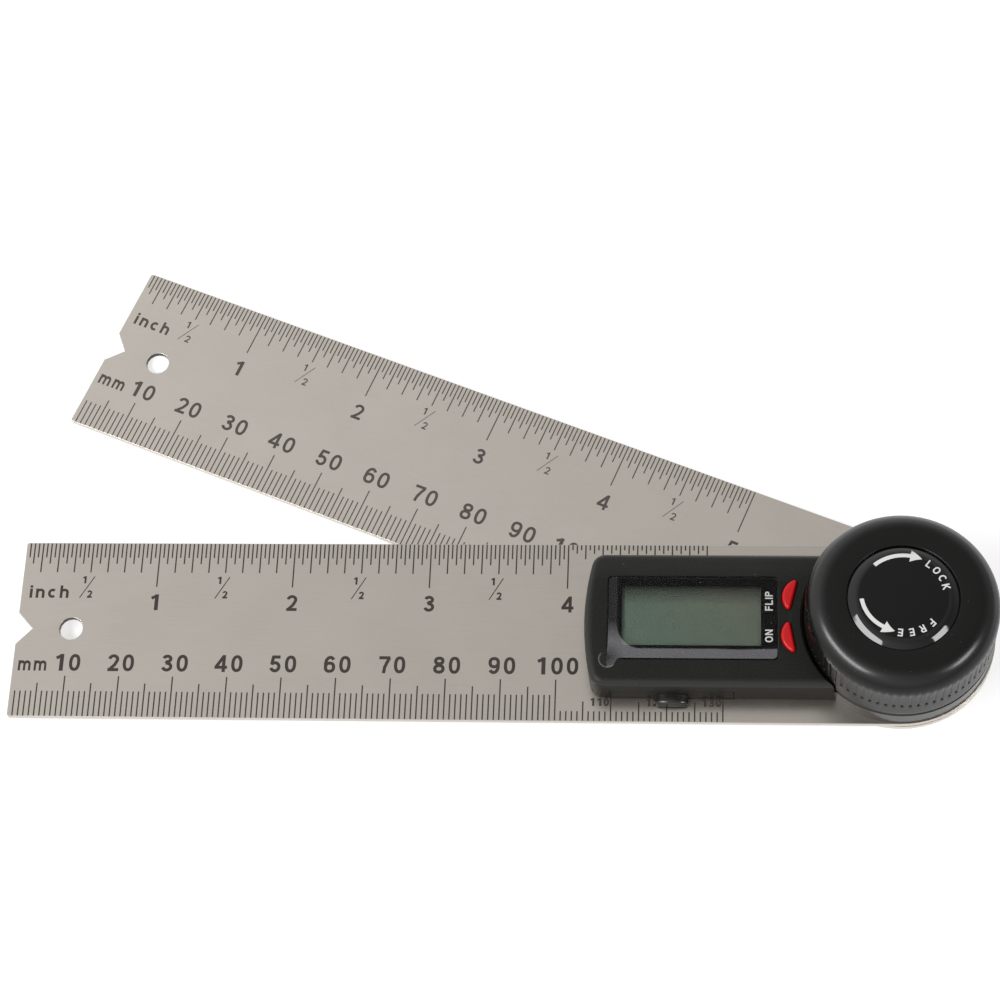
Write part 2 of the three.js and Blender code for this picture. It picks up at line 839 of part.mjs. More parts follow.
// A bent strip: the path runs along its middle, in the plane that the strip is cut in
function bentStrip(path, thickness, depth) {
  const offsets = path.map((point, i) => {
    const before = path[Math.max(i - 1, 0)];
    const after = path[Math.min(i + 1, path.length - 1)];
    const along = after.clone().sub(before).normalize();
    return new THREE.Vector2(-along.y, along.x).multiplyScalar(thickness / 2);
  });
  const left = path.map((point, i) => point.clone().add(offsets[i]));
  const right = path.map((point, i) => point.clone().sub(offsets[i])).reverse();
  return plate([...right.reverse(), ...left.reverse()], 0, depth);
}

// Stands a strip that was cut flat up on its edge, so that its height becomes z
function standing(strip, front) {
  return strip.rotate([90, 0, 0]).translate([0, front, 0]);
}

function contactMinus() {
  const padZ = boardTop + contactThickness / 2;
  const runZ = padZ + minusContactRise;
  const tipX = -boardLeft - minusContactReach;
  const tipZ = cellTop + seatGap + contactThickness / 2;
  const path = [
    new THREE.Vector2(tipX, runZ),
    new THREE.Vector2(tipX + minusContactWidth / 2, tipZ),
    new THREE.Vector2(tipX + minusContactWidth, tipZ),
    new THREE.Vector2(tipX + minusContactWidth * 2, runZ),
    new THREE.Vector2(-boardLeft - contactThickness, runZ),
    new THREE.Vector2(-boardLeft + contactThickness * 2, padZ),
    new THREE.Vector2(-boardLeft + minusContactWidth, padZ),
  ];
  const strip = bentStrip(path, contactThickness, minusContactWidth);
  return standing(strip, minusContactY + minusContactWidth / 2);
}

function contactPlus() {
  const rimY = cellY + cellRadius + seatGap + contactThickness / 2;
  const wallY = housingWidth / 2 - wall - contactThickness;
  const footY = bossY - bossRadius - slideGap - contactThickness;
  const path = [
    new THREE.Vector2(trayX - plusContactReach, wallY - contactThickness),
    new THREE.Vector2(trayX, rimY),
    new THREE.Vector2(trayX + plusContactReach, wallY - contactThickness),
    new THREE.Vector2(-boardLeft - plusContactReach / 2, wallY - contactThickness),
    new THREE.Vector2(-boardLeft + contactThickness, footY),
    new THREE.Vector2(-boardLeft + plusContactReach, footY),
  ];
  const strip = bentStrip(path, contactThickness, plusContactHeight);
  return strip.translate([0, 0, boardBottom - plusContactHeight]);
}

// Electronics

function mainBoard() {
  const reach = innerEndRadius + seatGap;
  const tilt = Math.asin(boardHalfWidth / reach);
  const board = plate([
    ...arcPoints(0, 0, reach, Math.PI + tilt, Math.PI - tilt),
    new THREE.Vector2(-boardLeft, boardHalfWidth),
    new THREE.Vector2(-boardLeft, -boardHalfWidth),
  ], boardBottom, boardTop);
  const notchRadius = bossRadius + slideGap;
  const notches = [1, -1].map((side) => join(
    rod(-bossX, side * bossY, notchRadius, boardBottom - overrun, boardTop + overrun),
    block(
      -boardLeft - overrun, -bossX,
      Math.min(side * (bossY - notchRadius), side * housingWidth / 2),
      Math.max(side * (bossY - notchRadius), side * housingWidth / 2),
      boardBottom - overrun, boardTop + overrun,
    ),
  ));
  const holes = [boardScrewY, -boardScrewY].map((y) => rod(
    -boardScrewX, y, screwShankRadius + seatGap, boardBottom - overrun, boardTop + overrun,
  ));
  return cut(board, ...notches, ...holes);
}

function controllerChip() {
  const chip = turned([
    [0, boardTop],
    [chipRadius, boardTop],
    ...chipShoulderShares.map(([out, up]) => [out * chipRadius, boardTop + up * chipHeight]),
    [0, boardTop + chipHeight],
  ]);
  return chip.translate([chipSetback - boardLeft, chipY, 0]);
}

function lcdConnector() {
  const half = connectorWidth / 2;
  return block(
    connectorX - half, connectorX + half,
    connectorY - connectorLength / 2, connectorY + connectorLength / 2, boardTop, displayBottom,
  );
}

function sensorRibbon() {
  const lowZ = statorTop + ribbonThickness / 2;
  const highZ = boardBottom - ribbonThickness / 2;
  const start = -statorOuterRadius + ribbonOverlap;
  const bendX = -innerEndRadius - ribbonOverlap;
  const path = [
    new THREE.Vector2(bendX - 3 * ribbonOverlap - boardThickness, highZ),
    new THREE.Vector2(bendX - 2 * ribbonOverlap, highZ),
    new THREE.Vector2(bendX, lowZ),
    new THREE.Vector2(start, lowZ),
  ];
  return standing(bentStrip(path, ribbonThickness, ribbonWidth), ribbonWidth / 2);
}

function insulatingSheet() {
  const sheetTop = deck + sheetThickness;
  const below = deck - overrun;
  const above = deck + overrun;
  const tall = cut(
    plate(blockOutline(wall + seatGap), deck, sheetTop),
    rod(0, 0, innerEndRadius + seatGap, below, above),
  );
  const round = rod(0, 0, flangeInnerRadius - seatGap, deck, sheetTop);
  const neckHalf = passageHalfWidth - seatGap;
  const neck = block(
    -innerEndRadius - overrun, overrun - statorOuterRadius, -neckHalf, neckHalf, deck, sheetTop,
  );
  const hubHole = rod(0, 0, statorInnerRadius - seatGap, below, above);
  const holeRadius = bossRadius + seatGap;
  const bossHoles = screwPlaces.map(([x, y]) => join(
    rod(x, y, holeRadius, below, above),
    block(
      x - holeRadius, x + holeRadius,
      Math.min(y, Math.sign(y) * housingWidth), Math.max(y, Math.sign(y) * housingWidth), below, above,
    ),
  ));
  const margin = block(-housingReach, 0, -housingWidth, trayFront + wall + slideGap, below, above);
  return cut(join(tall, round, neck), hubHole, ...bossHoles, margin);
}

// Screws

function housingScrew([x, y]) {
  const end = baseBottom + screwLength;
  const screw = turned([
    ...countersinkProfile(0),
    [screwShankRadius, end - screwShankRadius],
    [0, end],
  ]);
  const slotTop = baseBottom + screwSlotDepth;
  const slot = screwSlot(screwHeadRadius, screwSlotWidth, baseBottom - overrun, slotTop);
  return cut(screw, slot).translate([x, y, 0]);
}

function boardScrew(y) {
  const headBottom = boardBottom - boardScrewHeadHeight;
  const screw = turned([
    [0, headBottom],
    [screwHeadRadius, headBottom],
    [screwHeadRadius, boardBottom],
    [screwShankRadius, boardBottom],
    [screwShankRadius, boardBottom + boardScrewLength],
    [0, boardBottom + boardScrewLength],
  ]);
  const slotTop = headBottom + screwSlotDepth;
  const slot = screwSlot(screwHeadRadius, screwSlotWidth, headBottom - overrun, slotTop);
  return cut(screw, slot).translate([-boardScrewX, y, 0]);
}

// Lock knob

function shoulderPoints(radius, top, edge, steps) {
  const points = [];
  for (let i = 0; i <= steps; i += 1) {
    const angle = ((Math.PI / 2) * i) / steps;
    points.push([radius - edge * (1 - Math.cos(angle)), top - edge * (1 - Math.sin(angle))]);
  }
  return points;
}

function lockKnob() {
  const recessRadius = labelRadius + seatGap;
  const nutPocketRadius = (nutFlats / 2 + seatGap) / Math.cos(Math.PI / 6);
  const bossOuterRadius = nutPocketRadius + knobBossWall;
  const cavityTop = labelFloor - knobTopThickness + labelRecess;
  const innerRadius = knobRadius - knobWall;
  const body = turned([
    [0, knobBottom],
    [knobRadius - knobRimChamfer, knobBottom],
    [knobRadius, knobBottom + knobRimChamfer],
    ...shoulderPoints(knobRadius, knobTop, knobShoulderRadius, 5),
    [recessRadius, knobTop],
    [recessRadius, labelFloor],
    [0, labelFloor],
  ], grooveCount);
  const hollow = ring(bossOuterRadius, innerRadius, knobBottom - overrun, cavityTop);
  const collarRoom = rod(0, 0, bossOuterRadius + seatGap, knobBottom - overrun, nutBottom);
  const nutPocket = turned([
    [0, knobBottom - overrun],
    [nutPocketRadius, knobBottom - overrun],
    [nutPocketRadius, nutTop + seatGap],
    [0, nutTop + seatGap],
  ], 6);
  const bore = rod(0, 0, knobBoreRadius, knobBottom, knobTop);

  const grooveBottom = knobBottom + grooveStart;
  const grooveTop = knobTop - knobShoulderRadius + grooveRunOut;
  const rootRadius = knobRadius - grooveDepth;
  const mouthRadius = knobRadius + grooveDepth;
  const mouthHalf = 2 * grooveHalfWidth;
  const groove = plate([
    new THREE.Vector2(rootRadius, 0),
    new THREE.Vector2(mouthRadius, -mouthHalf),
    new THREE.Vector2(mouthRadius, mouthHalf),
  ], grooveBottom, grooveTop);
  const step = 360 / grooveCount;
  const firstGroove = step / 2 - 90;
  const grooves = Array.from(
    { length: grooveCount },
    (_, i) => groove.rotate([0, 0, firstGroove + i * step]),
  );

  const ribBottom = knobBottom + knobInnerRibRecess;
  const ribHalf = knobInnerRibThickness / 2;
  const rib = block(
    bossOuterRadius - ribHalf, innerRadius + ribHalf, -ribHalf, ribHalf, ribBottom, cavityTop + ribHalf,
  );
  const ribStep = 360 / knobInnerRibCount;
  const ribs = Array.from({ length: knobInnerRibCount }, (_, i) => rib.rotate([0, 0, i * ribStep]));
  const hollowed = join(cut(body, hollow, collarRoom), ...ribs);
  return cut(hollowed, nutPocket, bore, ...grooves);
}

function knobNut() {
  const corner = nutFlats / 2 / Math.cos(Math.PI / 6);
  const flat = nutFlats / 2;
  const hexagon = turned([[0, nutBottom], [corner, nutBottom], [corner, nutTop], [0, nutTop]], 6);
  const chamfered = turned([
    [0, nutBottom],
    [flat, nutBottom],
    [corner, nutBottom + nutChamfer],
    [corner, nutTop - nutChamfer],
    [flat, nutTop],
    [0, nutTop],
  ]);
  const bore = rod(0, 0, threadRadius + seatGap, nutBottom - overrun, nutTop + overrun);
  return cut(hexagon.intersect(chamfered), bore);
}

function knobLabel() {
  const rim = labelFloor + labelRimThickness;
  const crown = labelCrownShares.map(([out, up]) => [out * labelRadius, rim + up * labelDome]);
  return turned([[0, labelFloor], [labelRadius, labelFloor], ...crown], sectorsFor(labelRadius));
}

// Materials, with the colours of the photograph

function finish(color, roughness, metalness, extra = {}) {
  return new THREE.MeshStandardMaterial({ color, roughness, metalness, ...extra });
}

const steelFinish = finish(0xb9b4ab, 0.38, 1);
const turnedSteelFinish = finish(0xa9aaac, 0.3, 1);
const brassFinish = finish(0xb8974f, 0.35, 1);
const housingFinish = finish(0x2b2d2e, 0.62, 0);
const knobFinish = finish(0x252627, 0.45, 0);
const labelFinish = finish(0x101112, 0.12, 0);
const lensFinish = finish(0xdfe6e4, 0.05, 0, { transparent: true, opacity: 0.35 });
const filmFinish = finish(0xd9d7e2, 0.2, 0, { transparent: true, opacity: 0.25 });
const displayFinish = finish(0x97a196, 0.25, 0);
const buttonFinish = finish(0xc22a3a, 0.25, 0);
const boardFinish = finish(0x2f6b3c, 0.5, 0);
const chipFinish = finish(0x141414, 0.4, 0);
const rubberFinish = finish(0x8a8a88, 0.8, 0);
const washerFinish = finish(0xe6e4dc, 0.5, 0);
const ribbonFinish = finish(0xb5762a, 0.4, 0);
const sheetFinish = finish(0xf0efe8, 0.5, 0);

// Assembly: what stays with the upper rule, what turns with the lower one, the knob

function piece(name, solid, material) {
  const mesh = new THREE.Mesh(toGeometry(solid), material);
  mesh.name = name;
  return mesh;
}

const [flipPlace, zeroPlace] = buttonPlaces();

const upperRule = new THREE.Group();
upperRule.add(
  piece('base_rule', baseRule(), steelFinish),
  piece('pivot_bush', pivotBush(), brassFinish),
  piece('lower_washer', slipWasher(ruleThickness), washerFinish),
  piece('upper_washer', upperWasher(), washerFinish),
  piece('housing_shell', housingShell(), housingFinish),
  piece('insulating_sheet', insulatingSheet(), sheetFinish),
  piece('window_lens', windowLens(), lensFinish),
  piece('screen_film', screenFilm(), filmFinish),
  piece('lcd_panel', lcdPanel(), displayFinish),
  piece('lcd_connector', lcdConnector(), rubberFinish),
  piece('main_board', mainBoard(), boardFinish),
  piece('controller_chip', controllerChip(), chipFinish),
  piece('flip_dome', switchDome(flipPlace), turnedSteelFinish),
  piece('zero_dome', switchDome(zeroPlace), turnedSteelFinish),
  piece('contact_plus', contactPlus(), turnedSteelFinish),
  piece('contact_minus', contactMinus(), turnedSteelFinish),
  piece('encoder_stator', encoderStator(), boardFinish),
  piece('sensor_ribbon', sensorRibbon(), ribbonFinish),
  piece('board_screw_1', boardScrew(boardScrewY), turnedSteelFinish),
  piece('board_screw_2', boardScrew(-boardScrewY), turnedSteelFinish),
  ...screwPlaces.map((place, i) => piece(`housing_screw_${i + 1}`, housingScrew(place), turnedSteelFinish)),
);

const buttons = new THREE.Group();
buttons.add(
  piece('flip_button', pressButton(flipPlace), buttonFinish),
  piece('zero_button', pressButton(zeroPlace), buttonFinish),
);

const tray = new THREE.Group();
tray.add(
  piece('battery_tray', batteryTray(), housingFinish),
  piece('coin_cell', coinCell(), turnedSteelFinish),
);

const lowerRule = new THREE.Group();
lowerRule.rotation.z = -openAngle;
lowerRule.add(
  piece('moving_rule', movingRule(), steelFinish),
  piece('pivot_hub', pivotHub(), turnedSteelFinish),
  piece('rotor_collar', rotorCollar(), brassFinish),
  piece('encoder_rotor', encoderRotor(), boardFinish),
  piece('pressure_washer', pressureWasher(), turnedSteelFinish),
  piece('spring_washer', springWasher(), turnedSteelFinish),
  piece('stop_screw', stopScrew(), turnedSteelFinish),
);

const knob = new THREE.Group();
knob.rotation.z = knobTurn;
knob.add(
  piece('lock_knob', lockKnob(), knobFinish),
  piece('knob_nut', knobNut(), brassFinish),
  piece('knob_label', knobLabel(), labelFinish),
);

const angleFinder = new THREE.Group();
angleFinder.add(upperRule, buttons, tray, lowerRule, knob);

export default angleFinder;
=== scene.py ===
"""Looks of the digital angle finder: brushed steel rules with printed scales,
a textured housing with a display, red buttons and a ribbed lock knob."""

from math import cos, pi, radians, sin, sqrt

import bmesh
import bpy
from mathutils import Matrix, Vector


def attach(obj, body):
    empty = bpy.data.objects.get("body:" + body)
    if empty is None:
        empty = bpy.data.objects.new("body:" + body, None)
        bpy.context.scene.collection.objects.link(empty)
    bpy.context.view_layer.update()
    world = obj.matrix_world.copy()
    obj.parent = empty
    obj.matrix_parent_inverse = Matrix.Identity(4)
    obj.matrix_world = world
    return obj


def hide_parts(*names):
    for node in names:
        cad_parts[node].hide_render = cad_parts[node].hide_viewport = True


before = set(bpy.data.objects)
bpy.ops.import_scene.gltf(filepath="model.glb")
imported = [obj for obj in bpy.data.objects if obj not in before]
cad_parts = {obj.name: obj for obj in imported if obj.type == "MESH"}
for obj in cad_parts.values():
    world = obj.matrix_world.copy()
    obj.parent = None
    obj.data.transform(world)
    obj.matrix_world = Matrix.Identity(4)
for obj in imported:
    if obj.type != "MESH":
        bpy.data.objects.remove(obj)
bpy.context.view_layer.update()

MM = 0.001

# Sizes shared with the part, in millimetres
RULE_WIDTH = 34.5
HALF_WIDTH = RULE_WIDTH / 2
TIP = 161.3
OPEN_ANGLE = radians(21.7)
HANG_HOLE_REACH = TIP - 10.15
HANG_HOLE_RADIUS = 2.2
BASE_TOP = 2.5
MOVING_TOP = 1.1
ROOF = 9.3
HOUSING_REAR = 12.75
HOUSING_LEFT = -56.15
LENS_BACK = 8.3
KNOB_RADIUS = 17.0
KNOB_BOTTOM = 6.6
KNOB_TOP = 19.4
LABEL_RADIUS = 9.8
LABEL_TOP = 20.0
LABEL_FLOOR = 18.6

# Left, right, front and rear sides, in millimetres from the pivot
WINDOW = (-51.9, -21.55, -7.85, 8.05)
DISPLAY_VIEW = (-49.4, -24.56, -4.9, 6.5)

# Middle of the film's pull tab, in millimetres from the pivot
TAB_CENTRE = (-51.75, -7.95)

STEEL = (0.625, 0.577, 0.521)
# Painted shade for the upright wall of a rule's hang hole
HOLE_WALL_SHADE = (0.07, 0.062, 0.055)
DUST_COLOR = (0.3, 0.3, 0.29)
WHITE = (1.0, 1.0, 1.0)


# Shader parts


def new_group(name, inputs, outputs):
    """A shader node group; its inputs, with their values, and its outputs are plain numbers."""
    group = bpy.data.node_groups.new(name, "ShaderNodeTree")
    for label, value in inputs.items():
        socket = group.interface.new_socket(label, in_out="INPUT", socket_type="NodeSocketFloat")
        socket.default_value = value
    for label in outputs:
        group.interface.new_socket(label, in_out="OUTPUT", socket_type="NodeSocketFloat")
    return group, group.nodes.new("NodeGroupInput"), group.nodes.new("NodeGroupOutput")


def node(tree, kind, **settings):
    made = tree.nodes.new("ShaderNode" + kind)
    for key, value in settings.items():
        setattr(made, key, value)
    return made


def feed(tree, value, socket):
    """Gives a socket a number, a colour or another node's output."""
    if isinstance(value, tuple):
        socket.default_value = (*value, 1.0)
    elif isinstance(value, (int, float)):
        socket.default_value = value
    else:
        tree.links.new(value, socket)


def maths(tree, operation, *values):
    made = node(tree, "Math", operation=operation)
    for slot, value in enumerate(values):
        feed(tree, value, made.inputs[slot])
    return made.outputs[0]


def times(tree, product, *factors):
    """The product of masks and numbers."""
    for factor in factors:
        product = maths(tree, "MULTIPLY", product, factor)
    return product


def ramp(tree, value, low, high, first=0.0, last=1.0):
    """Goes from the first number to the last one while the value goes from low to high."""
    made = node(tree, "MapRange")
    for label, number in zip(("From Min", "From Max", "To Min", "To Max"), (low, high, first, last)):
        made.inputs[label].default_value = number
    feed(tree, value, made.inputs["Value"])
    return made.outputs["Result"]


def ramp_mm(tree, value, low, high):
    """A ramp between two places in millimetres."""
    return ramp(tree, value, low * MM, high * MM)


def axes(tree, output="Object"):
    """The x, y and z of a texture coordinate: the object's own place, or the one named."""
    split = node(tree, "SeparateXYZ")
    feed(tree, node(tree, "TexCoord").outputs[output], split.inputs[0])
    return split.outputs["X"], split.outputs["Y"], split.outputs["Z"]


def distance(tree, x, y):
    """How far the point x, y lies from nought."""
    return maths(tree, "SQRT", maths(tree, "ADD", times(tree, x, x), times(tree, y, y)))


def noise(tree, place, scale, detail, roughness=0.5):
    made = node(tree, "TexNoise")
    feed(tree, place, made.inputs["Vector"])
    feed(tree, scale, made.inputs["Scale"])
    made.inputs["Detail"].default_value = detail
    made.inputs["Roughness"].default_value = roughness
    return made.outputs["Fac"]


def rays(tree, *kinds):
    """One for rays of the named kinds, nothing for others."""
    path = node(tree, "LightPath")
    found = path.outputs[f"Is {kinds[0]} Ray"]
    for kind in kinds[1:]:
        found = maths(tree, "MAXIMUM", found, path.outputs[f"Is {kind} Ray"])
    return found


def grain_group():
    """Fine moulded grain with a slow change of tone."""
    group, entry, leave = new_group(
        "moulded_grain", {"Grain Size": 0.12, "Patch Size": 9.0}, ("Height", "Tone"),
    )
    place = node(group, "TexCoord").outputs["Object"]
    for size, result, detail in (("Grain Size", "Height", 3.0), ("Patch Size", "Tone", 2.0)):
        scale = maths(group, "DIVIDE", 1 / MM, entry.outputs[size])
        feed(group, noise(group, place, scale, detail, 0.6), leave.inputs[result])
    return group


def brushed_group():
    """Long fine strokes along a direction in the plane, with faint cloudy patches."""
    group, entry, leave = new_group(
        "brushed_strokes", {"Turn": 0.0, "Stroke Width": 0.09, "Stretch": 60.0}, ("Height", "Tone"),
    )
    place = node(group, "TexCoord").outputs["Object"]
    rotate = node(group, "VectorRotate", rotation_type="Z_AXIS")
    feed(group, place, rotate.inputs["Vector"])
    feed(group, entry.outputs["Turn"], rotate.inputs["Angle"])
    split = node(group, "SeparateXYZ")
    feed(group, rotate.outputs["Vector"], split.inputs[0])
    across = maths(group, "DIVIDE", 1 / MM, entry.outputs["Stroke Width"])
    along = maths(group, "DIVIDE", across, entry.outputs["Stretch"])
    join = node(group, "CombineXYZ")
    for axis, scale in (("X", along), ("Y", across), ("Z", across)):
        feed(group, times(group, split.outputs[axis], scale), join.inputs[axis])
    strokes = noise(group, join.outputs[0], 1.0, 3.0)
    clouds = noise(group, place, 90.0, 4.0)
    feed(group, strokes, leave.inputs["Height"])
    tone = maths(group, "MULTIPLY_ADD", strokes, 0.6, times(group, clouds, 0.4))
    feed(group, tone, leave.inputs["Tone"])
    return group


def dust_group():
    """Sparse specks of dust."""
    group, entry, leave = new_group("dust_specks", {"Spacing": 1.4, "Speck Size": 0.07}, ("Mask",))
    spacing = entry.outputs["Spacing"]
    cells = node(group, "TexVoronoi", feature="F1")
    feed(group, maths(group, "DIVIDE", 1 / MM, spacing), cells.inputs["Scale"])
    feed(group, node(group, "TexCoord").outputs["Object"], cells.inputs["Vector"])
    reach = maths(group, "DIVIDE", entry.outputs["Speck Size"], spacing)
    near = maths(group, "LESS_THAN", cells.outputs["Distance"], reach)
    chosen = node(group, "SeparateColor")
    feed(group, cells.outputs["Color"], chosen.inputs[0])
    some = maths(group, "GREATER_THAN", chosen.outputs[0], 0.55)
    feed(group, times(group, near, some), leave.inputs["Mask"])
    return group


GRAIN = grain_group()
BRUSHED = brushed_group()
DUST = dust_group()


def use_group(tree, group, **values):
    """A group's node; a value named grain_size goes to its input Grain Size."""
    made = node(tree, "Group", node_tree=group)
    for label, value in values.items():
        made.inputs[label.replace("_", " ").title()].default_value = value
    return made


def start_material(name, color, roughness, metallic=0.0, specular=0.5):
    material = bpy.data.materials.new(name)
    material.use_nodes = True
    tree = material.node_tree
    shader = tree.nodes["Principled BSDF"]
    feed(tree, color, shader.inputs["Base Color"])
    shader.inputs["Roughness"].default_value = roughness
    shader.inputs["Metallic"].default_value = metallic
    shader.inputs["Specular IOR Level"].default_value = specular
    return material, tree, shader


def lay_color(tree, shader, under, over, mask, blend="MIX"):
    """Base colour that goes by a mask from the one under, a colour or a node's output,
    to the one over it."""
    mix = node(tree, "Mix", data_type="RGBA", blend_type=blend)
    feed(tree, under, mix.inputs["A"])
    feed(tree, over, mix.inputs["B"])
    feed(tree, mask, mix.inputs["Factor"])
    feed(tree, mix.outputs["Result"], shader.inputs["Base Color"])
    return mix.outputs["Result"]


def lay_dust(tree, shader, under, amount):
    """Specks of dust over a colour."""
    specks = use_group(tree, DUST)
    lay_color(tree, shader, under, DUST_COLOR, times(tree, specks.outputs["Mask"], amount))


def spread_roughness(tree, shader, value, low, high):
    feed(tree, ramp(tree, value, 0.0, 1.0, low, high), shader.inputs["Roughness"])


def bump(tree, shader, height, distance_mm, strength):
    made = node(tree, "Bump")
    made.inputs["Strength"].default_value = strength
    made.inputs["Distance"].default_value = distance_mm * MM
    feed(tree, height, made.inputs["Height"])
    feed(tree, made.outputs["Normal"], shader.inputs["Normal"])


def scaled(color, factor):
    return tuple(channel * factor for channel in color)


# Materials


def hang_hole_wall(tree, turn):
    """One on the upright wall of a rule's hang hole, nothing elsewhere."""
    x, y, _ = axes(tree)
    from_x = maths(tree, "ADD", x, HANG_HOLE_REACH * cos(turn) * MM)
    from_y = maths(tree, "SUBTRACT", y, HANG_HOLE_REACH * sin(turn) * MM)
    away = distance(tree, from_x, from_y)
    near = ramp_mm(tree, away, HANG_HOLE_RADIUS + 0.4, HANG_HOLE_RADIUS + 0.2)
    _, _, facing = axes(tree, "Normal")
    upright = ramp(tree, maths(tree, "ABSOLUTE", facing), 0.6, 0.4)
    return times(tree, near, upright)


def steel_material(name, color, turn):
    """Brushed steel, with painted shade darkening the wall of the hang hole."""
    roughness = 0.28
    material, tree, shader = start_material(name, color, roughness, 1.0)
    strokes = use_group(tree, BRUSHED, turn=turn)
    streaks = ramp(tree, strokes.outputs["Tone"], 0.35, 0.65)
    brushed = lay_color(tree, shader, scaled(color, 0.965), scaled(color, 1.03), streaks)
    # Painted shade: the hang hole's upright wall is coloured dark as if in shadow
    lay_color(tree, shader, brushed, HOLE_WALL_SHADE, hang_hole_wall(tree, turn))
    spread_roughness(tree, shader, strokes.outputs["Tone"], roughness - 0.04, roughness + 0.05)
    bump(tree, shader, strokes.outputs["Height"], 0.004, 0.35)
    return material


def turned_material(name, color, roughness):
    """Turned or pressed metal with fine marks."""
    material, tree, shader = start_material(name, color, roughness, 1.0)
    grain = use_group(tree, GRAIN, grain_size=0.25, patch_size=4.0)
    lay_color(tree, shader, scaled(color, 0.9), scaled(color, 1.06), grain.outputs["Tone"])
    spread_roughness(tree, shader, grain.outputs["Height"], roughness - 0.05, roughness + 0.08)
    bump(tree, shader, grain.outputs["Height"], 0.004, 0.4)
    return material


def moulded_material(name, color, roughness, specular, grain_size, depth, dusty=0.0, coat=0.0):
    """Moulded plastic: grain, a slow change of tone and a little dust."""
    material, tree, shader = start_material(name, color, roughness, 0.0, specular)
    grain = use_group(tree, GRAIN, grain_size=grain_size, patch_size=8.0)
    plain = lay_color(tree, shader, scaled(color, 0.86), scaled(color, 1.14), grain.outputs["Tone"])
    if dusty:
        lay_dust(tree, shader, plain, dusty)
    if coat:
        shader.inputs["Coat Weight"].default_value = coat
        shader.inputs["Coat Roughness"].default_value = 0.08
    spread_roughness(tree, shader, grain.outputs["Height"], roughness - 0.04, roughness + 0.06)
    bump(tree, shader, grain.outputs["Height"], depth, 0.5)
    return material


def knob_material():
    """Black plastic, glossier round the shoulder that the fingers polish."""
    material, tree, shader = start_material("knob_black", (0.003, 0.003, 0.0026), 0.26, 0.0, 0.26)
    grain = use_group(tree, GRAIN, grain_size=0.3, patch_size=8.0)
    dark, light = (0.0026, 0.0026, 0.0022), (0.0034, 0.0034, 0.003)
    plain = lay_color(tree, shader, dark, light, grain.outputs["Tone"])
    lay_dust(tree, shader, plain, 0.2)
    _, _, height = axes(tree)
    above = ramp_mm(tree, height, KNOB_TOP, KNOB_TOP - 0.35)
    below = ramp_mm(tree, height, KNOB_TOP - 1.7, KNOB_TOP - 0.9)
    feed(tree, times(tree, above, below, 0.55), shader.inputs["Coat Weight"])
    shader.inputs["Coat Roughness"].default_value = 0.24
    spread_roughness(tree, shader, ramp_mm(tree, height, 13.0, 16.5), 0.35, 0.26)
    bump(tree, shader, grain.outputs["Height"], 0.003, 0.5)
    return material


def label_material():
    """Glossy black disc, its lacquer thickest round the rim."""
    material = moulded_material("label_black", (0.002, 0.002, 0.002), 0.05, 0.28, 3.0, 0.001, 0.2)
    tree = material.node_tree
    shader = tree.nodes["Principled BSDF"]
    x, y, _ = axes(tree)
    rim = ramp_mm(tree, distance(tree, x, y), 7.7, 8.0)
    feed(tree, times(tree, rim, 0.5), shader.inputs["Coat Weight"])
    shader.inputs["Coat Roughness"].default_value = 0.05
    return material


def housing_material():
    """Grained black plastic, smoother along its rounded top edge, with a painted highlight that makes
    that edge, the rear and left borders and the rear of the roof paler.
    """
    color, highlight_color = (0.0072, 0.0074, 0.0058), (0.046, 0.044, 0.042)
    material, tree, shader = start_material("housing_black", color, 0.5, 0.0, 0.2)
    grain = use_group(tree, GRAIN, grain_size=0.32, patch_size=8.0)
    pits = times(tree, ramp(tree, grain.outputs["Height"], 0.3, 0.7), 0.7)
    mottle = maths(tree, "MULTIPLY_ADD", grain.outputs["Tone"], 0.3, pits)
    plain = lay_color(tree, shader, scaled(color, 0.25), scaled(color, 1.8), mottle)
    x, y, height = axes(tree)
    # Painted highlight: the rounded top edge, the rear and left borders and the rear of the roof are
    # coloured paler as if catching light
    over_wall = ramp_mm(tree, height, ROOF - 1.3, ROOF - 0.8)
    under_roof = ramp_mm(tree, height, ROOF - 0.04, ROOF - 0.3)
    edge = times(tree, over_wall, under_roof)
    rear = ramp_mm(tree, y, HOUSING_REAR - 2.2, HOUSING_REAR - 0.1)
    left = ramp_mm(tree, x, HOUSING_LEFT + 1.8, HOUSING_LEFT + 0.4)
    highlight_borders = maths(tree, "MAXIMUM", times(tree, rear, rear), times(tree, left, 0.6))
    broad = times(tree, ramp_mm(tree, y, 7.0, 10.0), 0.16)
    roof_highlight = maths(tree, "MULTIPLY_ADD", highlight_borders, 0.4, broad)
    painted_highlight = maths(tree, "MAXIMUM", times(tree, edge, 0.5), roof_highlight)
    # The painted highlight is laid over the grained colour
    highlighted = lay_color(tree, shader, plain, highlight_color, painted_highlight)
    lay_dust(tree, shader, highlighted, 0.5)
    spread_roughness(tree, shader, edge, 0.5, 0.27)
    bump(tree, shader, grain.outputs["Height"], 0.04, 0.8)
    return material


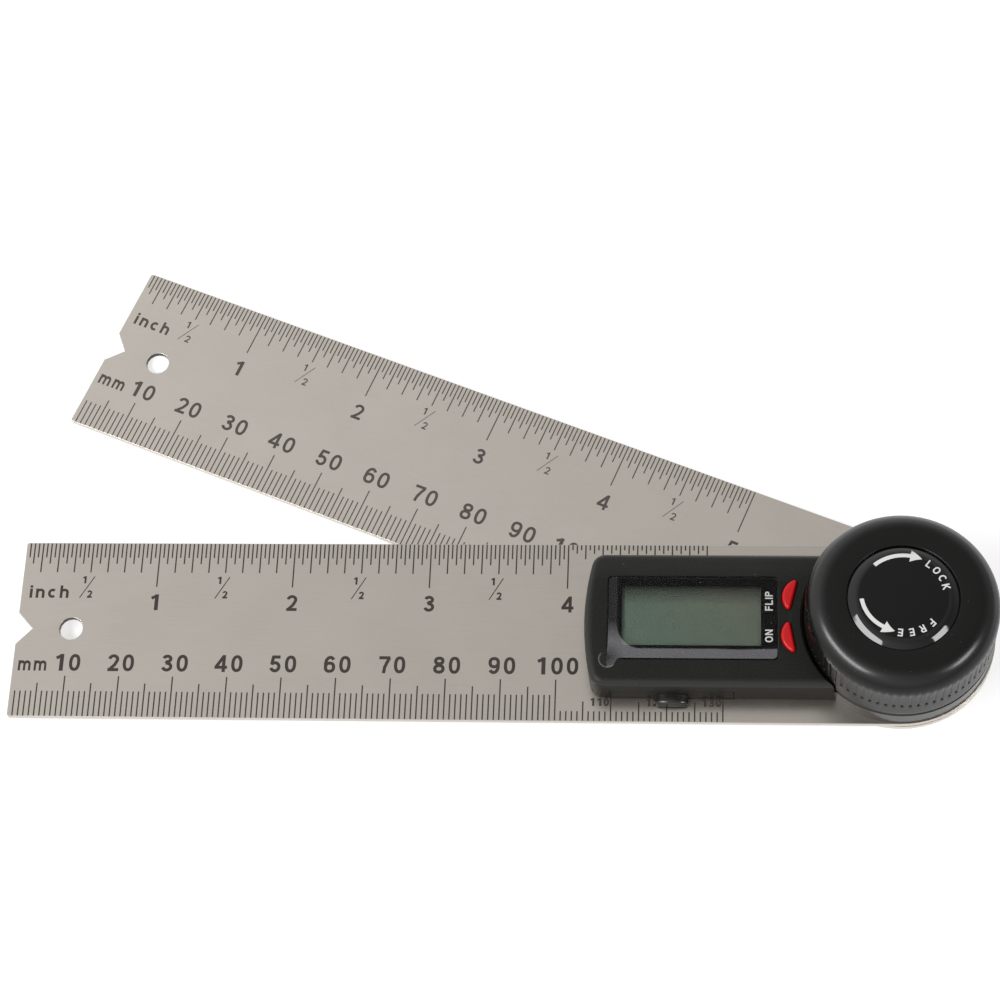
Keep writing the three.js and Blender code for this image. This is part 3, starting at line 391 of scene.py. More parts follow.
def lens_material():
    """Clear plastic; shadow, diffuse and mirrored rays go straight through it."""
    roughness = 0.01
    material, tree, shader = start_material("window_clear", (0.97, 0.98, 0.97), roughness)
    shader.inputs["Transmission Weight"].default_value = 1.0
    shader.inputs["IOR"].default_value = 1.15
    grain = use_group(tree, GRAIN, grain_size=1.5, patch_size=12.0)
    spread_roughness(tree, shader, grain.outputs["Tone"], roughness, roughness + 0.03)
    through = node(tree, "BsdfTransparent")
    feed(tree, (0.96, 0.97, 0.96), through.inputs["Color"])
    mirrored = maths(tree, "SUBTRACT", rays(tree, "Glossy"), rays(tree, "Transmission"))
    passing = maths(tree, "MAXIMUM", rays(tree, "Shadow", "Diffuse"), mirrored)
    mix = node(tree, "MixShader")
    feed(tree, passing, mix.inputs["Fac"])
    feed(tree, shader.outputs["BSDF"], mix.inputs[1])
    feed(tree, through.outputs["BSDF"], mix.inputs[2])
    feed(tree, mix.outputs["Shader"], tree.nodes["Material Output"].inputs["Surface"])
    return material


def display_material():
    """Grey-green display, with painted shade darkening it along its rear and left sides, where the
    window's border shades it.
    """
    material, tree, shader = start_material("display", (0.1, 0.13, 0.1), 0.3, 0.0, 0.15)
    x, y, _ = axes(tree)
    left, _, _, rear = DISPLAY_VIEW
    from_rear = maths(tree, "SUBTRACT", rear * MM, y)
    from_left = maths(tree, "SUBTRACT", x, left * MM)
    # Painted shade: the display turns nearly black towards its rear and left edges
    painted_light = times(tree, ramp_mm(tree, from_rear, -0.4, 3.3), ramp_mm(tree, from_left, -0.9, 0.7), 0.9)
    grain = use_group(tree, GRAIN, grain_size=0.8, patch_size=9.0)
    tone = maths(tree, "MULTIPLY_ADD", grain.outputs["Tone"], 0.1, painted_light)
    plain = lay_color(tree, shader, (0.004, 0.004, 0.003), (0.083, 0.115, 0.09), tone)
    warm = ramp_mm(tree, maths(tree, "ADD", x, y), -46.0, -26.0)
    lay_color(tree, shader, plain, (1.16, 0.94, 0.95), warm, "MULTIPLY")
    spread_roughness(tree, shader, grain.outputs["Height"], 0.26, 0.34)
    bump(tree, shader, grain.outputs["Height"], 0.003, 0.3)
    return material


def film_material():
    """Thin clear film lying close on the window, with a pale band of painted reflection along the left
    and front sides, where the film lifts off the window, and a painted highlight on the outer side of the
    pull tab's rim."""
    material, tree, shader = start_material("screen_film", (0.4, 0.39, 0.43), 0.2)
    x, y, _ = axes(tree)
    left, _, front, rear = WINDOW
    wave = use_group(tree, GRAIN, grain_size=1.6, patch_size=7.0)
    shift = times(tree, maths(tree, "SUBTRACT", wave.outputs["Tone"], 0.5), 0.5 * MM)
    # The band of painted reflection, where the film lifts, ends along a line that bends round the front
    # left corner
    bend = 4.5
    outside = []
    for place, start in ((x, left + 1.65), (y, front + 1.95)):
        inward = maths(tree, "SUBTRACT", maths(tree, "SUBTRACT", place, (start + bend) * MM), shift)
        outside.append(maths(tree, "MINIMUM", inward, 0.0))
    # Painted reflection: a pale band along the left and front sides, stronger towards the front
    band = ramp_mm(tree, distance(tree, *outside), bend - 0.12, bend + 0.12)
    strength = maths(tree, "MULTIPLY_ADD", ramp_mm(tree, y, -0.6, -4.6), 0.115, 0.016)
    inside = ramp_mm(tree, x, left - 0.05, left + 0.15)
    tab_x = maths(tree, "SUBTRACT", x, TAB_CENTRE[0] * MM)
    tab_y = maths(tree, "SUBTRACT", y, TAB_CENTRE[1] * MM)
    from_tab = distance(tree, tab_x, tab_y)
    outward = ramp_mm(tree, maths(tree, "ADD", tab_x, tab_y), 0.2, -0.5)
    # Painted highlight on the pull tab's rim, on its lower left side
    rim = times(tree, ramp_mm(tree, from_tab, 1.3, 1.55), outward, 0.1)
    shown = times(tree, band, strength, inside, ramp_mm(tree, from_tab, -0.6, 3.4))
    left_margin = ramp_mm(tree, x, left + 2.2, left + 1.0)
    rear_margin = ramp_mm(tree, y, rear - 1.3, rear - 0.3)
    amount = maths(tree, "MULTIPLY_ADD", maths(tree, "MAXIMUM", left_margin, rear_margin), 0.4, 0.5)
    dusty = times(tree, use_group(tree, DUST).outputs["Mask"], amount)
    for more in (rim, dusty, 0.003):
        shown = maths(tree, "ADD", shown, more)
    feed(tree, shown, shader.inputs["Alpha"])
    lay_color(tree, shader, (0.38, 0.37, 0.4), (0.48, 0.47, 0.5), wave.outputs["Tone"])
    bump(tree, shader, wave.outputs["Height"], 0.01, 0.3)
    return material


# The numbers of a moulded one: roughness, specular, grain size, grain depth and dust
MATERIALS = {
    # The base rule's steel is the moving rule's, painted a tenth darker as painted shade
    "base_steel": steel_material("base_steel", scaled(STEEL, 0.9), 0.0),
    "moving_steel": steel_material("moving_steel", STEEL, OPEN_ANGLE),
    "turned_steel": turned_material("turned_steel", (0.58, 0.58, 0.58), 0.28),
    "brass": turned_material("turned_brass", (0.66, 0.45, 0.18), 0.3),
    "scale_ink": moulded_material("scale_ink", (0.034, 0.027, 0.021), 0.55, 0.3, 0.4, 0.002),
    "faint_ink": moulded_material("faint_scale_ink", (0.062, 0.054, 0.047), 0.55, 0.3, 0.4, 0.002),
    "housing": housing_material(),
    "polished": moulded_material("polished_black", (0.012, 0.011, 0.0095), 0.2, 0.5, 0.3, 0.004, 0.2),
    "knob": knob_material(),
    "label": label_material(),
    "white_ink": moulded_material("white_ink", (0.6, 0.6, 0.59), 0.4, 0.3, 0.5, 0.002),
    "mask": moulded_material("window_mask", (0.002, 0.002, 0.0018), 0.45, 0.06, 0.5, 0.002),
    "washer": moulded_material("slip_washer", (0.72, 0.7, 0.64), 0.45, 0.4, 0.4, 0.004),
    "sheet": moulded_material("insulating_sheet", (0.75, 0.74, 0.68), 0.5, 0.3, 0.5, 0.004),
    "board": moulded_material("circuit_board", (0.025, 0.16, 0.05), 0.35, 0.5, 0.6, 0.006, 0.1),
    "chip": moulded_material("chip_resin", (0.008, 0.008, 0.008), 0.2, 0.5, 0.8, 0.01),
    "ribbon": moulded_material("sensor_ribbon", (0.42, 0.17, 0.03), 0.3, 0.5, 0.8, 0.004),
    "rubber": moulded_material("contact_rubber", (0.22, 0.22, 0.21), 0.7, 0.3, 0.2, 0.01),
    "red": moulded_material("button_red", (0.5, 0.003, 0.005), 0.22, 0.32, 0.5, 0.003, coat=0.1),
    "lens": lens_material(),
    "display": display_material(),
    "film": film_material(),
}


# Mesh parts


def add_object(name, data):
    obj = bpy.data.objects.new(name, data)
    bpy.context.scene.collection.objects.link(obj)
    return obj


def place_piece(mesh, name, material, body, replaced=None, crease=40):
    """Adds a piece to its body, smooth but for edges sharper than the crease."""
    mesh.polygons.foreach_set("use_smooth", [True] * len(mesh.polygons))
    mesh.set_sharp_from_angle(angle=radians(crease))
    mesh.update()
    mesh.materials.clear()
    mesh.materials.append(MATERIALS[material])
    obj = add_object(name, mesh)
    flats = obj.modifiers.new("even_flats", "WEIGHTED_NORMAL")
    flats.keep_sharp = True
    flats.weight = 80
    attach(obj, body)
    if replaced:
        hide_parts(replaced)
    return obj


def face_outward(mesh):
    work = bmesh.new()
    work.from_mesh(mesh)
    bmesh.ops.recalc_face_normals(work, faces=work.faces)
    work.to_mesh(mesh)
    work.free()


def mesh_from(name, verts, faces):
    """A mesh from points in millimetres."""
    mesh = bpy.data.meshes.new(name)
    mesh.from_pydata([tuple(value * MM for value in vert) for vert in verts], [], faces)
    mesh.validate()
    face_outward(mesh)
    return mesh


def softened(node_name, piece_name, edge_mm):
    """The node's own shape with its sharp edges rounded."""
    flat_within, sharp_beyond = radians(0.6), radians(32)
    work = bmesh.new()
    work.from_mesh(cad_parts[node_name].data)
    bmesh.ops.remove_doubles(work, verts=work.verts, dist=0.001 * MM)
    bmesh.ops.dissolve_limit(
        work, angle_limit=flat_within, verts=work.verts, edges=work.edges, use_dissolve_boundaries=False,
    )
    sharp = [
        edge for edge in work.edges
        if len(edge.link_faces) == 2 and edge.calc_face_angle(0.0) > sharp_beyond
    ]
    bmesh.ops.bevel(
        work, geom=sharp, offset=edge_mm * MM, offset_type="OFFSET", segments=2,
        profile=0.5, affect="EDGES", clamp_overlap=True,
    )
    bmesh.ops.triangulate(work, faces=work.faces)
    mesh = bpy.data.meshes.new(piece_name)
    work.to_mesh(mesh)
    work.free()
    return mesh


def wrapped_faces(columns, rows, closed=False):
    """Faces between columns of points set round the pivot; closed joins last row to first."""
    faces = []
    for column in range(columns):
        ahead = (column + 1) % columns
        for row in range(rows if closed else rows - 1):
            up = (row + 1) % rows
            faces.append((column * rows + row, ahead * rows + row, ahead * rows + up, column * rows + up))
    return faces


# Lettering

INK_THICKNESS = 0.02
STROKE = 0.182
DIGIT_WIDTH = 0.63
SMALL_LETTER = 0.74


def arc(x, y, rx, ry, start, end, steps=14):
    """Points along an ellipse, angles in degrees."""
    return [
        (x + rx * cos(radians(start + (end - start) * i / steps)),
         y + ry * sin(radians(start + (end - start) * i / steps)))
        for i in range(steps + 1)
    ]


def oval(x, y, rx, ry, steps=32, fullness=2.35):
    """A closed oval, a little fuller than an ellipse."""
    points = []
    for i in range(steps):
        c, s = cos(2 * pi * i / steps), sin(2 * pi * i / steps)
        points.append((
            x + rx * abs(c) ** (2 / fullness) * (1 if c >= 0 else -1),
            y + ry * abs(s) ** (2 / fullness) * (1 if s >= 0 else -1),
        ))
    return points


def stroke_outline(points, width, closed=False):
    """Both sides of a bent bar; corners are mitred."""
    count = len(points)
    sides = ([], [])
    for i, point in enumerate(points):
        before = points[i - 1] if closed or i else None
        after = points[(i + 1) % count] if closed or i < count - 1 else None
        directions = []
        for a, b in ((before, point), (point, after)):
            if a is not None and b is not None:
                length = sqrt((b[0] - a[0]) ** 2 + (b[1] - a[1]) ** 2)
                directions.append(((b[0] - a[0]) / length, (b[1] - a[1]) / length))
        dx = sum(d[0] for d in directions) / len(directions)
        dy = sum(d[1] for d in directions) / len(directions)
        reach = width / 2 / max(dx * dx + dy * dy, 0.25)
        sides[0].append((point[0] - dy * reach, point[1] + dx * reach))
        sides[1].append((point[0] + dy * reach, point[1] - dx * reach))
    return sides


def bar_solid(points, width, closed):
    """A flat solid along a path, from z = -0.5 to 0.5."""
    left, right = stroke_outline(points, width, closed)
    count = len(points)
    verts = [(x, y, z) for z in (-0.5, 0.5) for side in (left, right) for x, y in side]
    low_left, low_right, high_left, high_right = (start * count for start in range(4))
    faces = []
    for i in range(count if closed else count - 1):
        j = (i + 1) % count
        faces.append((low_left + i, low_left + j, low_right + j, low_right + i))
        faces.append((high_left + i, high_right + i, high_right + j, high_left + j))
        faces.append((low_left + i, high_left + i, high_left + j, low_left + j))
        faces.append((low_right + i, low_right + j, high_right + j, high_right + i))
    if not closed:
        for i in (0, count - 1):
            ends = (low_left + i, low_right + i, high_right + i, high_left + i)
            faces.append(ends if i == 0 else ends[::-1])
    return verts, faces


def stroke(*points):
    """An open path of a letter."""
    return list(points), False


def ring(points):
    """A closed path of a letter."""
    return points, True


def letter_strokes(letter, w):
    """Paths of a letter one unit tall, for a pen w wide, and the letter's width."""
    e = w / 2
    width, small = DIGIT_WIDTH, SMALL_LETTER
    mid, a, b = width / 2, width / 2 - e, 0.5 - e
    upright = stroke((e, 0), (e, 1))
    if letter in "0O":
        wide = width if letter == "0" else 0.8
        return [ring(oval(wide / 2, 0.5, wide / 2 - e, b))], wide
    if letter == "1":
        stem = 0.42
        left, right = stem - 0.02, stem + 0.02
        flag = stroke((stem, 1 - e * 0.75), (stem - 0.1, 0.86), (stem - 0.31, 0.76))
        return [stroke((left, 0), (left, 1)), stroke((right, 0), (right, 1)), flag], width
    if letter == "2":
        top = arc(mid, 0.7, a, 0.3 - e, 172, -28)
        return [stroke(*top, (0.4, 0.38), (0.12, e)), stroke((0.02, e), (width, e))], width
    if letter == "3":
        top = arc(mid - 0.01, 0.745, a * 0.9, 0.255 - e, 165, -90)
        low = arc(mid, 0.29, a, 0.29 - e, 90, -168)
        return [stroke(*top, (0.24, 0.575 - e)), stroke((0.24, 0.58 - e), *low)], width
    if letter == "4":
        wide = 0.7
        stem = wide - 0.2
        slope = stroke((e * 0.7, 0.27), (stem - 0.015, 0.94))
        return [stroke((stem, 0), (stem, 1)), stroke((0, 0.28), (wide, 0.28)), slope], wide
    if letter == "5":
        bowl = arc(mid - 0.01, 0.33, a, 0.33 - e, 128, -165)
        return [
            stroke((width - 0.05, 1 - e), (0.12, 1 - e)), stroke((0.19, 1 - e * 0.8), (0.12, 0.46)),
            stroke((0.1, 0.5), *bowl[1:]),
        ], width
    if letter in "69":
        tail = arc(mid + 0.02, 0.55, a + 0.02, 0.45 - e, 38, 180)
        paths = [ring(oval(mid, 0.33, a, 0.33 - e)), stroke(*tail, (e, 0.33))]
        if letter == "9":
            paths = [([(width - x, 1 - y) for x, y in points], closed) for points, closed in paths]
        return paths, width
    if letter == "7":
        slope = stroke((width - 0.04, 1 - e), (0.45, 0.62), (0.34, 0.34), (0.3, 0))
        return [stroke((0.02, 1 - e), (width, 1 - e)), slope], width
    if letter == "8":
        return [ring(oval(mid, 0.745, a * 0.88, 0.255 - e)), ring(oval(mid, 0.285, a, 0.285 - e))], width
    if letter == "i":
        return [stroke((e, 0), (e, small)), stroke((e, 1 - w * 0.95), (e, 1))], w
    if letter in "nmh":
        paths = [stroke((e, 0), (e, 1 if letter == "h" else small))]
        half = (0.56 - w * 0.5) / 2 if letter == "m" else (0.66 - w) / 2
        left = e
        for _ in range(2 if letter == "m" else 1):
            top = arc(left + half, small - e - half * 0.8, half, half * 0.8, 150, 0, 8)
            paths.append(stroke((left, small - e - half * 1.1), *top, (left + 2 * half, 0)))
            left += 2 * half
        return paths, left + e
    if letter == "c":
        return [stroke(*arc(0.33, small / 2, 0.33 - e, small / 2 - e, 48, 312, 20))], 0.62
    if letter == "C":
        return [stroke(*arc(0.4, 0.5, 0.4 - e, b, 46, 314, 24))], 0.74
    if letter == "I":
        return [upright], w
    if letter in "FEL":
        rows = {"F": (1 - e, 0.53), "E": (1 - e, 0.52, e), "L": (e,)}[letter]
        arms = [stroke((e * 0.5, y), (0.58 if 0.2 < y < 0.8 else 0.63, y)) for y in rows]
        return [upright] + arms, 0.63
    if letter in "PR":
        bowl = arc(0.38, 0.725, 0.29 - e, 0.275 - e, 90, -90, 10)
        paths = [upright, stroke((e * 0.5, 1 - e), (0.38, 1 - e), *bowl[1:], (e * 0.5, 0.45 + e))]
        if letter == "R":
            paths.append(stroke((0.36, 0.5), (0.66 - e, 0)))
        return paths, 0.67
    if letter == "N":
        right = 0.74 - e
        return [upright, stroke((right, 0), (right, 1)), stroke((e, 1 - e * 0.4), (right, e * 0.4))], 0.74
    if letter == "K":
        return [upright, stroke((e, 0.36), (0.62, 1)), stroke((0.24, 0.56), (0.66, 0))], 0.7
    raise ValueError(letter)


def merged(parts):
    """One closed solid from overlapping ones."""
    holders = []
    for verts, faces in parts:
        mesh = bpy.data.meshes.new("letter_part")
        mesh.from_pydata(verts, [], faces)
        face_outward(mesh)
        holders.append(add_object("letter_part", mesh))
    for other in holders[1:]:
        union = holders[0].modifiers.new("union", "BOOLEAN")
        union.operation = "UNION"
        union.solver = "EXACT"
        union.object = other
    bpy.context.view_layer.update()
    shaped = holders[0].evaluated_get(bpy.context.evaluated_depsgraph_get())
    mesh = shaped.to_mesh()
    verts = [tuple(vert.co) for vert in mesh.vertices]
    faces = [tuple(face.vertices) for face in mesh.polygons]
    shaped.to_mesh_clear()
    for holder in holders:
        data = holder.data
        bpy.data.objects.remove(holder)
        bpy.data.meshes.remove(data)
    return verts, faces


LETTERS = {}


def letter_solid(letter, weight):
    """A letter's points, faces and width, made once for each weight of pen."""
    key = (letter, weight)
    if key not in LETTERS:
        paths, width = letter_strokes(letter, weight)
        solid = merged([bar_solid(points, weight, closed) for points, closed in paths])
        LETTERS[key] = (*solid, width)
    return LETTERS[key]


def word(text, height, gap=0.22, weight=STROKE, squeeze=1.0):
    """Lettering with its baseline at y = 0, centred on x = 0, capitals as tall as height."""
    verts, faces, x = [], [], 0.0
    for letter in text:
        letter_verts, letter_faces, width = letter_solid(letter, weight)
        start = len(verts)
        verts += [(x + vx, vy, vz) for vx, vy, vz in letter_verts]
        faces += [tuple(start + i for i in face) for face in letter_faces]
        x += width + gap
    middle = (x - gap) / 2
    return [
        ((vx - middle) * height * squeeze, vy * height, vz * INK_THICKNESS) for vx, vy, vz in verts
    ], faces


# Printed scales


class Print:
    """Collects printed marks of one surface into one mesh."""

    def __init__(self):
        self.verts = []
        self.faces = []

    def add(self, shape, x=0.0, y=0.0, z=0.0, turn=0.0):
        verts, faces = shape
        start = len(self.verts)
        c, s = cos(turn), sin(turn)
        for px, py, pz in verts:
            self.verts.append((x + c * px - s * py, y + s * px + c * py, z + pz))
        self.faces.extend(tuple(start + index for index in face) for face in faces)

    def bar(self, x0, x1, y0, y1, z, slant=0.0):
        half = INK_THICKNESS / 2
        corners = [(x0, y0), (x1, y0), (x1 + slant, y1), (x0 + slant, y1)]
        verts = [(x, y, z + side) for side in (-half, half) for x, y in corners]
        faces = [(3, 2, 1, 0), (4, 5, 6, 7), (0, 1, 5, 4), (1, 2, 6, 5), (2, 3, 7, 6), (3, 0, 4, 7)]
        self.add((verts, faces))


INCH = 25.4
TICK_WIDTH = 0.25
INK_SINK = 0.004
INK_MARGIN = 0.12

# Last marks in 32nds of an inch and in millimetres, and the last ones clear of the housing
LAST_32ND, LAST_MM = 160, 130
CLEAR_32ND, CLEAR_MM = 128, 100

# Marks of each scale: steps between them, length, and length beside the housing
INCH_MARKS = ((32, 8.7, 4.3), (4, 5.85, 2.8), (2, 4.1, 1.7), (1, 2.85, 1.0))
MM_MARKS = ((10, 7.8, 4.35), (5, 6.4, 3.65), (1, 4.85, 1.8))


def tick_length(step, kinds, beside_housing):
    """Length of the mark at a step, from the first kind that falls on it."""
    _, full, shortened = next(kind for kind in kinds if step % kind[0] == 0)
    return shortened if beside_housing else full


def print_half(marks, x, z, slash=0.2, pen=0.215):
    """A small one half with its long slanting stroke."""
    low, left = 6.15, x - 1.72
    marks.add(word("1", 1.45, weight=pen), x - 1.0, 9.05, z)
    marks.add(word("2", 1.5, weight=pen), x + 0.2, low, z)
    marks.bar(left, left + slash, low, 10.45, z, slant=2.5)


def print_unit(marks, text, height, starts, y, z, squeeze=1.0):
    """A unit word with each letter at its own place from the tip."""
    pen = 0.2
    for letter, start in zip(text, starts):
        width = letter_solid(letter, pen)[2] * height * squeeze
        marks.add(word(letter, height, weight=pen, squeeze=squeeze), start + width / 2 - TIP, y, z)


def print_scales(surface, covered):
    """Both scales of a rule; the housing covers one of them but for its margins."""
    marks = Print()
    z = surface + INK_THICKNESS / 2 - INK_SINK
    rear = HALF_WIDTH - INK_MARGIN
    weight, half = (STROKE, TICK_WIDTH / 2) if covered else (0.165, TICK_WIDTH / 2 - 0.015)
    inch_line, mm_line = (3.75, -8.35) if covered else (3.3, -8.05)
    inches = 4 if covered else 5
    for step in range(1, LAST_32ND + 1):
        x = step * INCH / 32 - TIP
        length = tick_length(step, INCH_MARKS, covered and step > CLEAR_32ND)
        marks.bar(x - half, x + half, rear - length, rear, z)
    for step in range(1, LAST_MM + 1):
        x = step - TIP
        length = tick_length(step, MM_MARKS, covered and step > CLEAR_MM)
        marks.bar(x - half, x + half, -rear, length - rear, z)
    for inch in range(1, inches + 1):
        nudge = 0.1 if inch > 1 else -0.1
        marks.add(word(str(inch), 3.15, weight=weight), inch * INCH - TIP + nudge, inch_line, z)
    for inch in range(inches):
        middle = (inch + 0.5) * INCH - TIP
        if covered:
            print_half(marks, middle, z)
        else:
            print_half(marks, middle + 0.3, z, 0.13, 0.155)
    print_unit(marks, "inch", 2.5, (1.6, 2.75, 5.05, 7.3), 6.1, z)
    print_unit(marks, "mm", 2.7, (1.05, 4.0), mm_line, z, 0.77)
    for step in range(10, (CLEAR_MM if covered else LAST_MM) + 1, 10):
        marks.add(word(str(step), 3.3, weight=weight), step + 0.15 - TIP, mm_line, z)
    if covered:
        for step in range(CLEAR_MM + 10, LAST_MM + 1, 10):
            marks.add(word(str(step), 1.5, gap=0.2, weight=0.21), step - 2.05 - TIP, -14.3, z)
    return marks


def place_print(marks, name, body, material, turn=0.0):
    """Places printed marks, turned about the pivot."""
    placed = Print()
    placed.add((marks.verts, marks.faces), turn=turn)
    place_piece(mesh_from(name, placed.verts, placed.faces), name, material, body)


place_print(print_scales(BASE_TOP, True), "base_scales", "base", "scale_ink")
place_print(
    print_scales(MOVING_TOP, False), "moving_scales", "arm", "faint_ink", -OPEN_ANGLE,
)


# Rules and shell

# Node, its visible piece, rounding of its edges in millimetres, material, body and slot
SOFTENED = [
    ("base_rule", "base_rule_steel", 0.1, "base_steel", "base", "rule_steel"),
    ("moving_rule", "moving_rule_steel", 0.1, "moving_steel", "arm", "rule_steel"),
    ("housing_shell", "housing_moulding", 0.12, "housing", "base", "housing_plastic"),
    ("battery_tray", "battery_drawer", 0.05, "housing", "tray", "housing_plastic"),
    ("flip_button", "flip_key", 0.08, "red", "flip_button", "button_red"),
    ("zero_button", "zero_key", 0.08, "red", "zero_button", "button_red"),
    ("pivot_hub", "hub_turned", 0.06, "turned_steel", "arm", "turned_steel"),
    ("coin_cell", "cell_can", 0.12, "turned_steel", "tray", "turned_steel"),
]
shaped = {
    name: place_piece(softened(source, name, edge), name, material, body, source)
    for source, name, edge, material, body, slot in SOFTENED
}


def polish(obj, chosen):
    """Gives the chosen faces, by their centre in millimetres, the polished finish."""
    obj.data.materials.append(MATERIALS["polished"])
    for face in obj.data.polygons:
        if chosen(face.center / MM):
            face.material_index = 1


def on_round_end(centre):
    """Whether a face is on the low round end of the housing, outside the pivot's passage."""
    away = sqrt(centre.x ** 2 + centre.y ** 2)
    return away > 16.0 and centre.x > -16.6 and centre.z < 6.25


def on_finger_tab(centre):
    """Whether a face of the tray stands out of the housing's front."""
    return centre.y < -12.78


polish(shaped["housing_moulding"], on_round_end)
polish(shaped["battery_drawer"], on_finger_tab)

# Solids that are seen as they are, by material
KEPT = {
    "brass": ("pivot_bush", "rotor_collar", "knob_nut"),
    "washer": ("lower_washer", "upper_washer"),
    "sheet": ("insulating_sheet",),
    "lens": ("window_lens",),
    "display": ("lcd_panel",),
    "rubber": ("lcd_connector",),
    "board": ("main_board", "encoder_stator", "encoder_rotor"),
    "chip": ("controller_chip",),
    "ribbon": ("sensor_ribbon",),
    "turned_steel": (
        "flip_dome", "zero_dome", "contact_plus", "contact_minus", "board_screw_1", "board_screw_2",
        "housing_screw_1", "housing_screw_2", "housing_screw_3",
        "pressure_washer", "spring_washer", "stop_screw",
    ),
}
for material, names in KEPT.items():
    for name in names:
        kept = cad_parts[name]
        kept.data.materials.clear()
        kept.data.materials.append(MATERIALS[material])


# Window mask, film and legends

CORNER_STEPS = 6
CORNER_RADIUS = 0.8


def ring_plate(outer, inner, bottom, top):
    """A flat frame between two outlines with as many points each."""
    count = len(outer)
    up = 2 * count
    verts = [(x, y, z) for z in (bottom, top) for x, y in outer + inner]
    faces = []
    for i in range(count):
        j = (i + 1) % count
        inner_i, inner_j = count + i, count + j
        faces.append((i, inner_i, inner_j, j))
        faces.append((up + i, up + j, up + inner_j, up + inner_i))
        faces.append((i, j, up + j, up + i))
        faces.append((inner_i, up + inner_i, up + inner_j, inner_j))
    return verts, faces


def rounded_box(left, right, front, rear, radius):
    """Outline of a box with rounded corners, from its front right corner round to its front left."""
    corners = [
        (right - radius, front + radius, -90), (right - radius, rear - radius, 0),
        (left + radius, rear - radius, 90), (left + radius, front + radius, 180),
    ]
    return [
        point for x, y, start in corners
        for point in arc(x, y, radius, radius, start, start + 90, CORNER_STEPS)
    ]


def build_mask():
    """The black border printed behind the window, open over the display."""
    left, right, front, rear = WINDOW
    outer = rounded_box(left + 0.06, right - 0.1, front + 0.06, rear - 0.06, CORNER_RADIUS)
    inner = rounded_box(*DISPLAY_VIEW, 0.35)
    verts, faces = ring_plate(outer, inner, LENS_BACK + 0.01, LENS_BACK + 0.03)
    mesh = mesh_from("window_mask", verts, faces)
    place_piece(mesh, "window_mask", "mask", "base")


def build_film():
    """The film's outline: the window's, with a rounded pull tab at its front left corner."""
    left, right, front, rear = WINDOW
    margin, tab_radius = 0.15, 1.65
    sides = rounded_box(left + margin, right - margin, front + margin, rear - margin, CORNER_RADIUS)
    without_corner = sides[:-(CORNER_STEPS + 1)]
    tab = arc(*TAB_CENTRE, tab_radius, tab_radius, 140, 310, 17)
    outline = without_corner + [(left + margin, -5.6), (-52.05, -6.2)]
    outline += tab + [(-50.1, TAB_CENTRE[1]), (-49.5, front + margin)]
    count = len(outline)
    verts = [(x, y, z) for z in (ROOF + 0.015, ROOF + 0.15) for x, y in outline]
    faces = [tuple(reversed(range(count))), tuple(range(count, 2 * count))]
    faces += [(i, (i + 1) % count, count + (i + 1) % count, count + i) for i in range(count)]
    mesh = mesh_from("protective_film", verts, faces)
    place_piece(mesh, "protective_film", "film", "base", "screen_film")


build_mask()
build_film()

legends = Print()
for text, y in (("FLIP", 3.7), ("ON", -3.0)):
    legends.add(word(text, 1.4, gap=0.18, weight=0.17), -22.45, y, LENS_BACK + 0.05, pi / 2)
place_print(legends, "button_legends", "base", "white_ink")


# Lock knob

GROOVES = 75
GROOVE_PITCH = 2 * pi / GROOVES
GROOVE_PHASE = radians(0.65)
GROOVE_HALF = 0.34
SHOULDER = 3.9

# Depth of a groove at heights above the base rule: a pit below, and a run-out above
GROOVE_DEPTHS = [
    (7.8, 0.0), (7.95, 0.2), (8.1, 0.34), (8.25, 0.32), (8.4, 0.17), (9.2, 0.15),
    (12.0, 0.15), (12.9, 0.1), (13.6, 0.04), (14.2, 0.0),
]


def groove_depth(z):
    for (z0, d0), (z1, d1) in zip(GROOVE_DEPTHS, GROOVE_DEPTHS[1:]):
        if z0 < z <= z1:
            return d0 + (d1 - d0) * (z - z0) / (z1 - z0)
    return 0.0


def knob_profile():
    """Outer side from the rim up over the shoulder, down into the label's seat, and the
    underside; heights are above the base rule."""
    bottom, top, seat_floor = (height - BASE_TOP for height in (KNOB_BOTTOM, KNOB_TOP, LABEL_FLOOR))
    rim = [(KNOB_RADIUS - 0.3, bottom), (KNOB_RADIUS - 0.08, bottom + 0.08), (KNOB_RADIUS, bottom + 0.3)]
    heights = [5.2, 6.6, 7.4, 7.85, 7.95, 8.1, 8.3, 8.45, 8.7, 9.6, 10.6, 11.6, 12.3, 12.7]
    wall = [(KNOB_RADIUS, z) for z in heights]
    shoulder = arc(KNOB_RADIUS - SHOULDER, top - SHOULDER, SHOULDER, SHOULDER, 0, 90, 18)
    seat = LABEL_RADIUS + 0.07
    bore, boss, skirt, boss_foot, ceiling = 4.5, 7.57, 14.7, 10.75, 14.4
    label_seat = [
        (11.6, top), (seat + 0.3, top), (seat + 0.1, top - 0.02), (seat + 0.03, top - 0.07),
        (seat, top - 0.18), (seat, seat_floor), (bore, seat_floor),
    ]
    underside = [(bore, boss_foot), (boss, boss_foot), (boss, ceiling), (skirt, ceiling), (skirt, bottom)]
    return rim + wall + shoulder + label_seat + underside


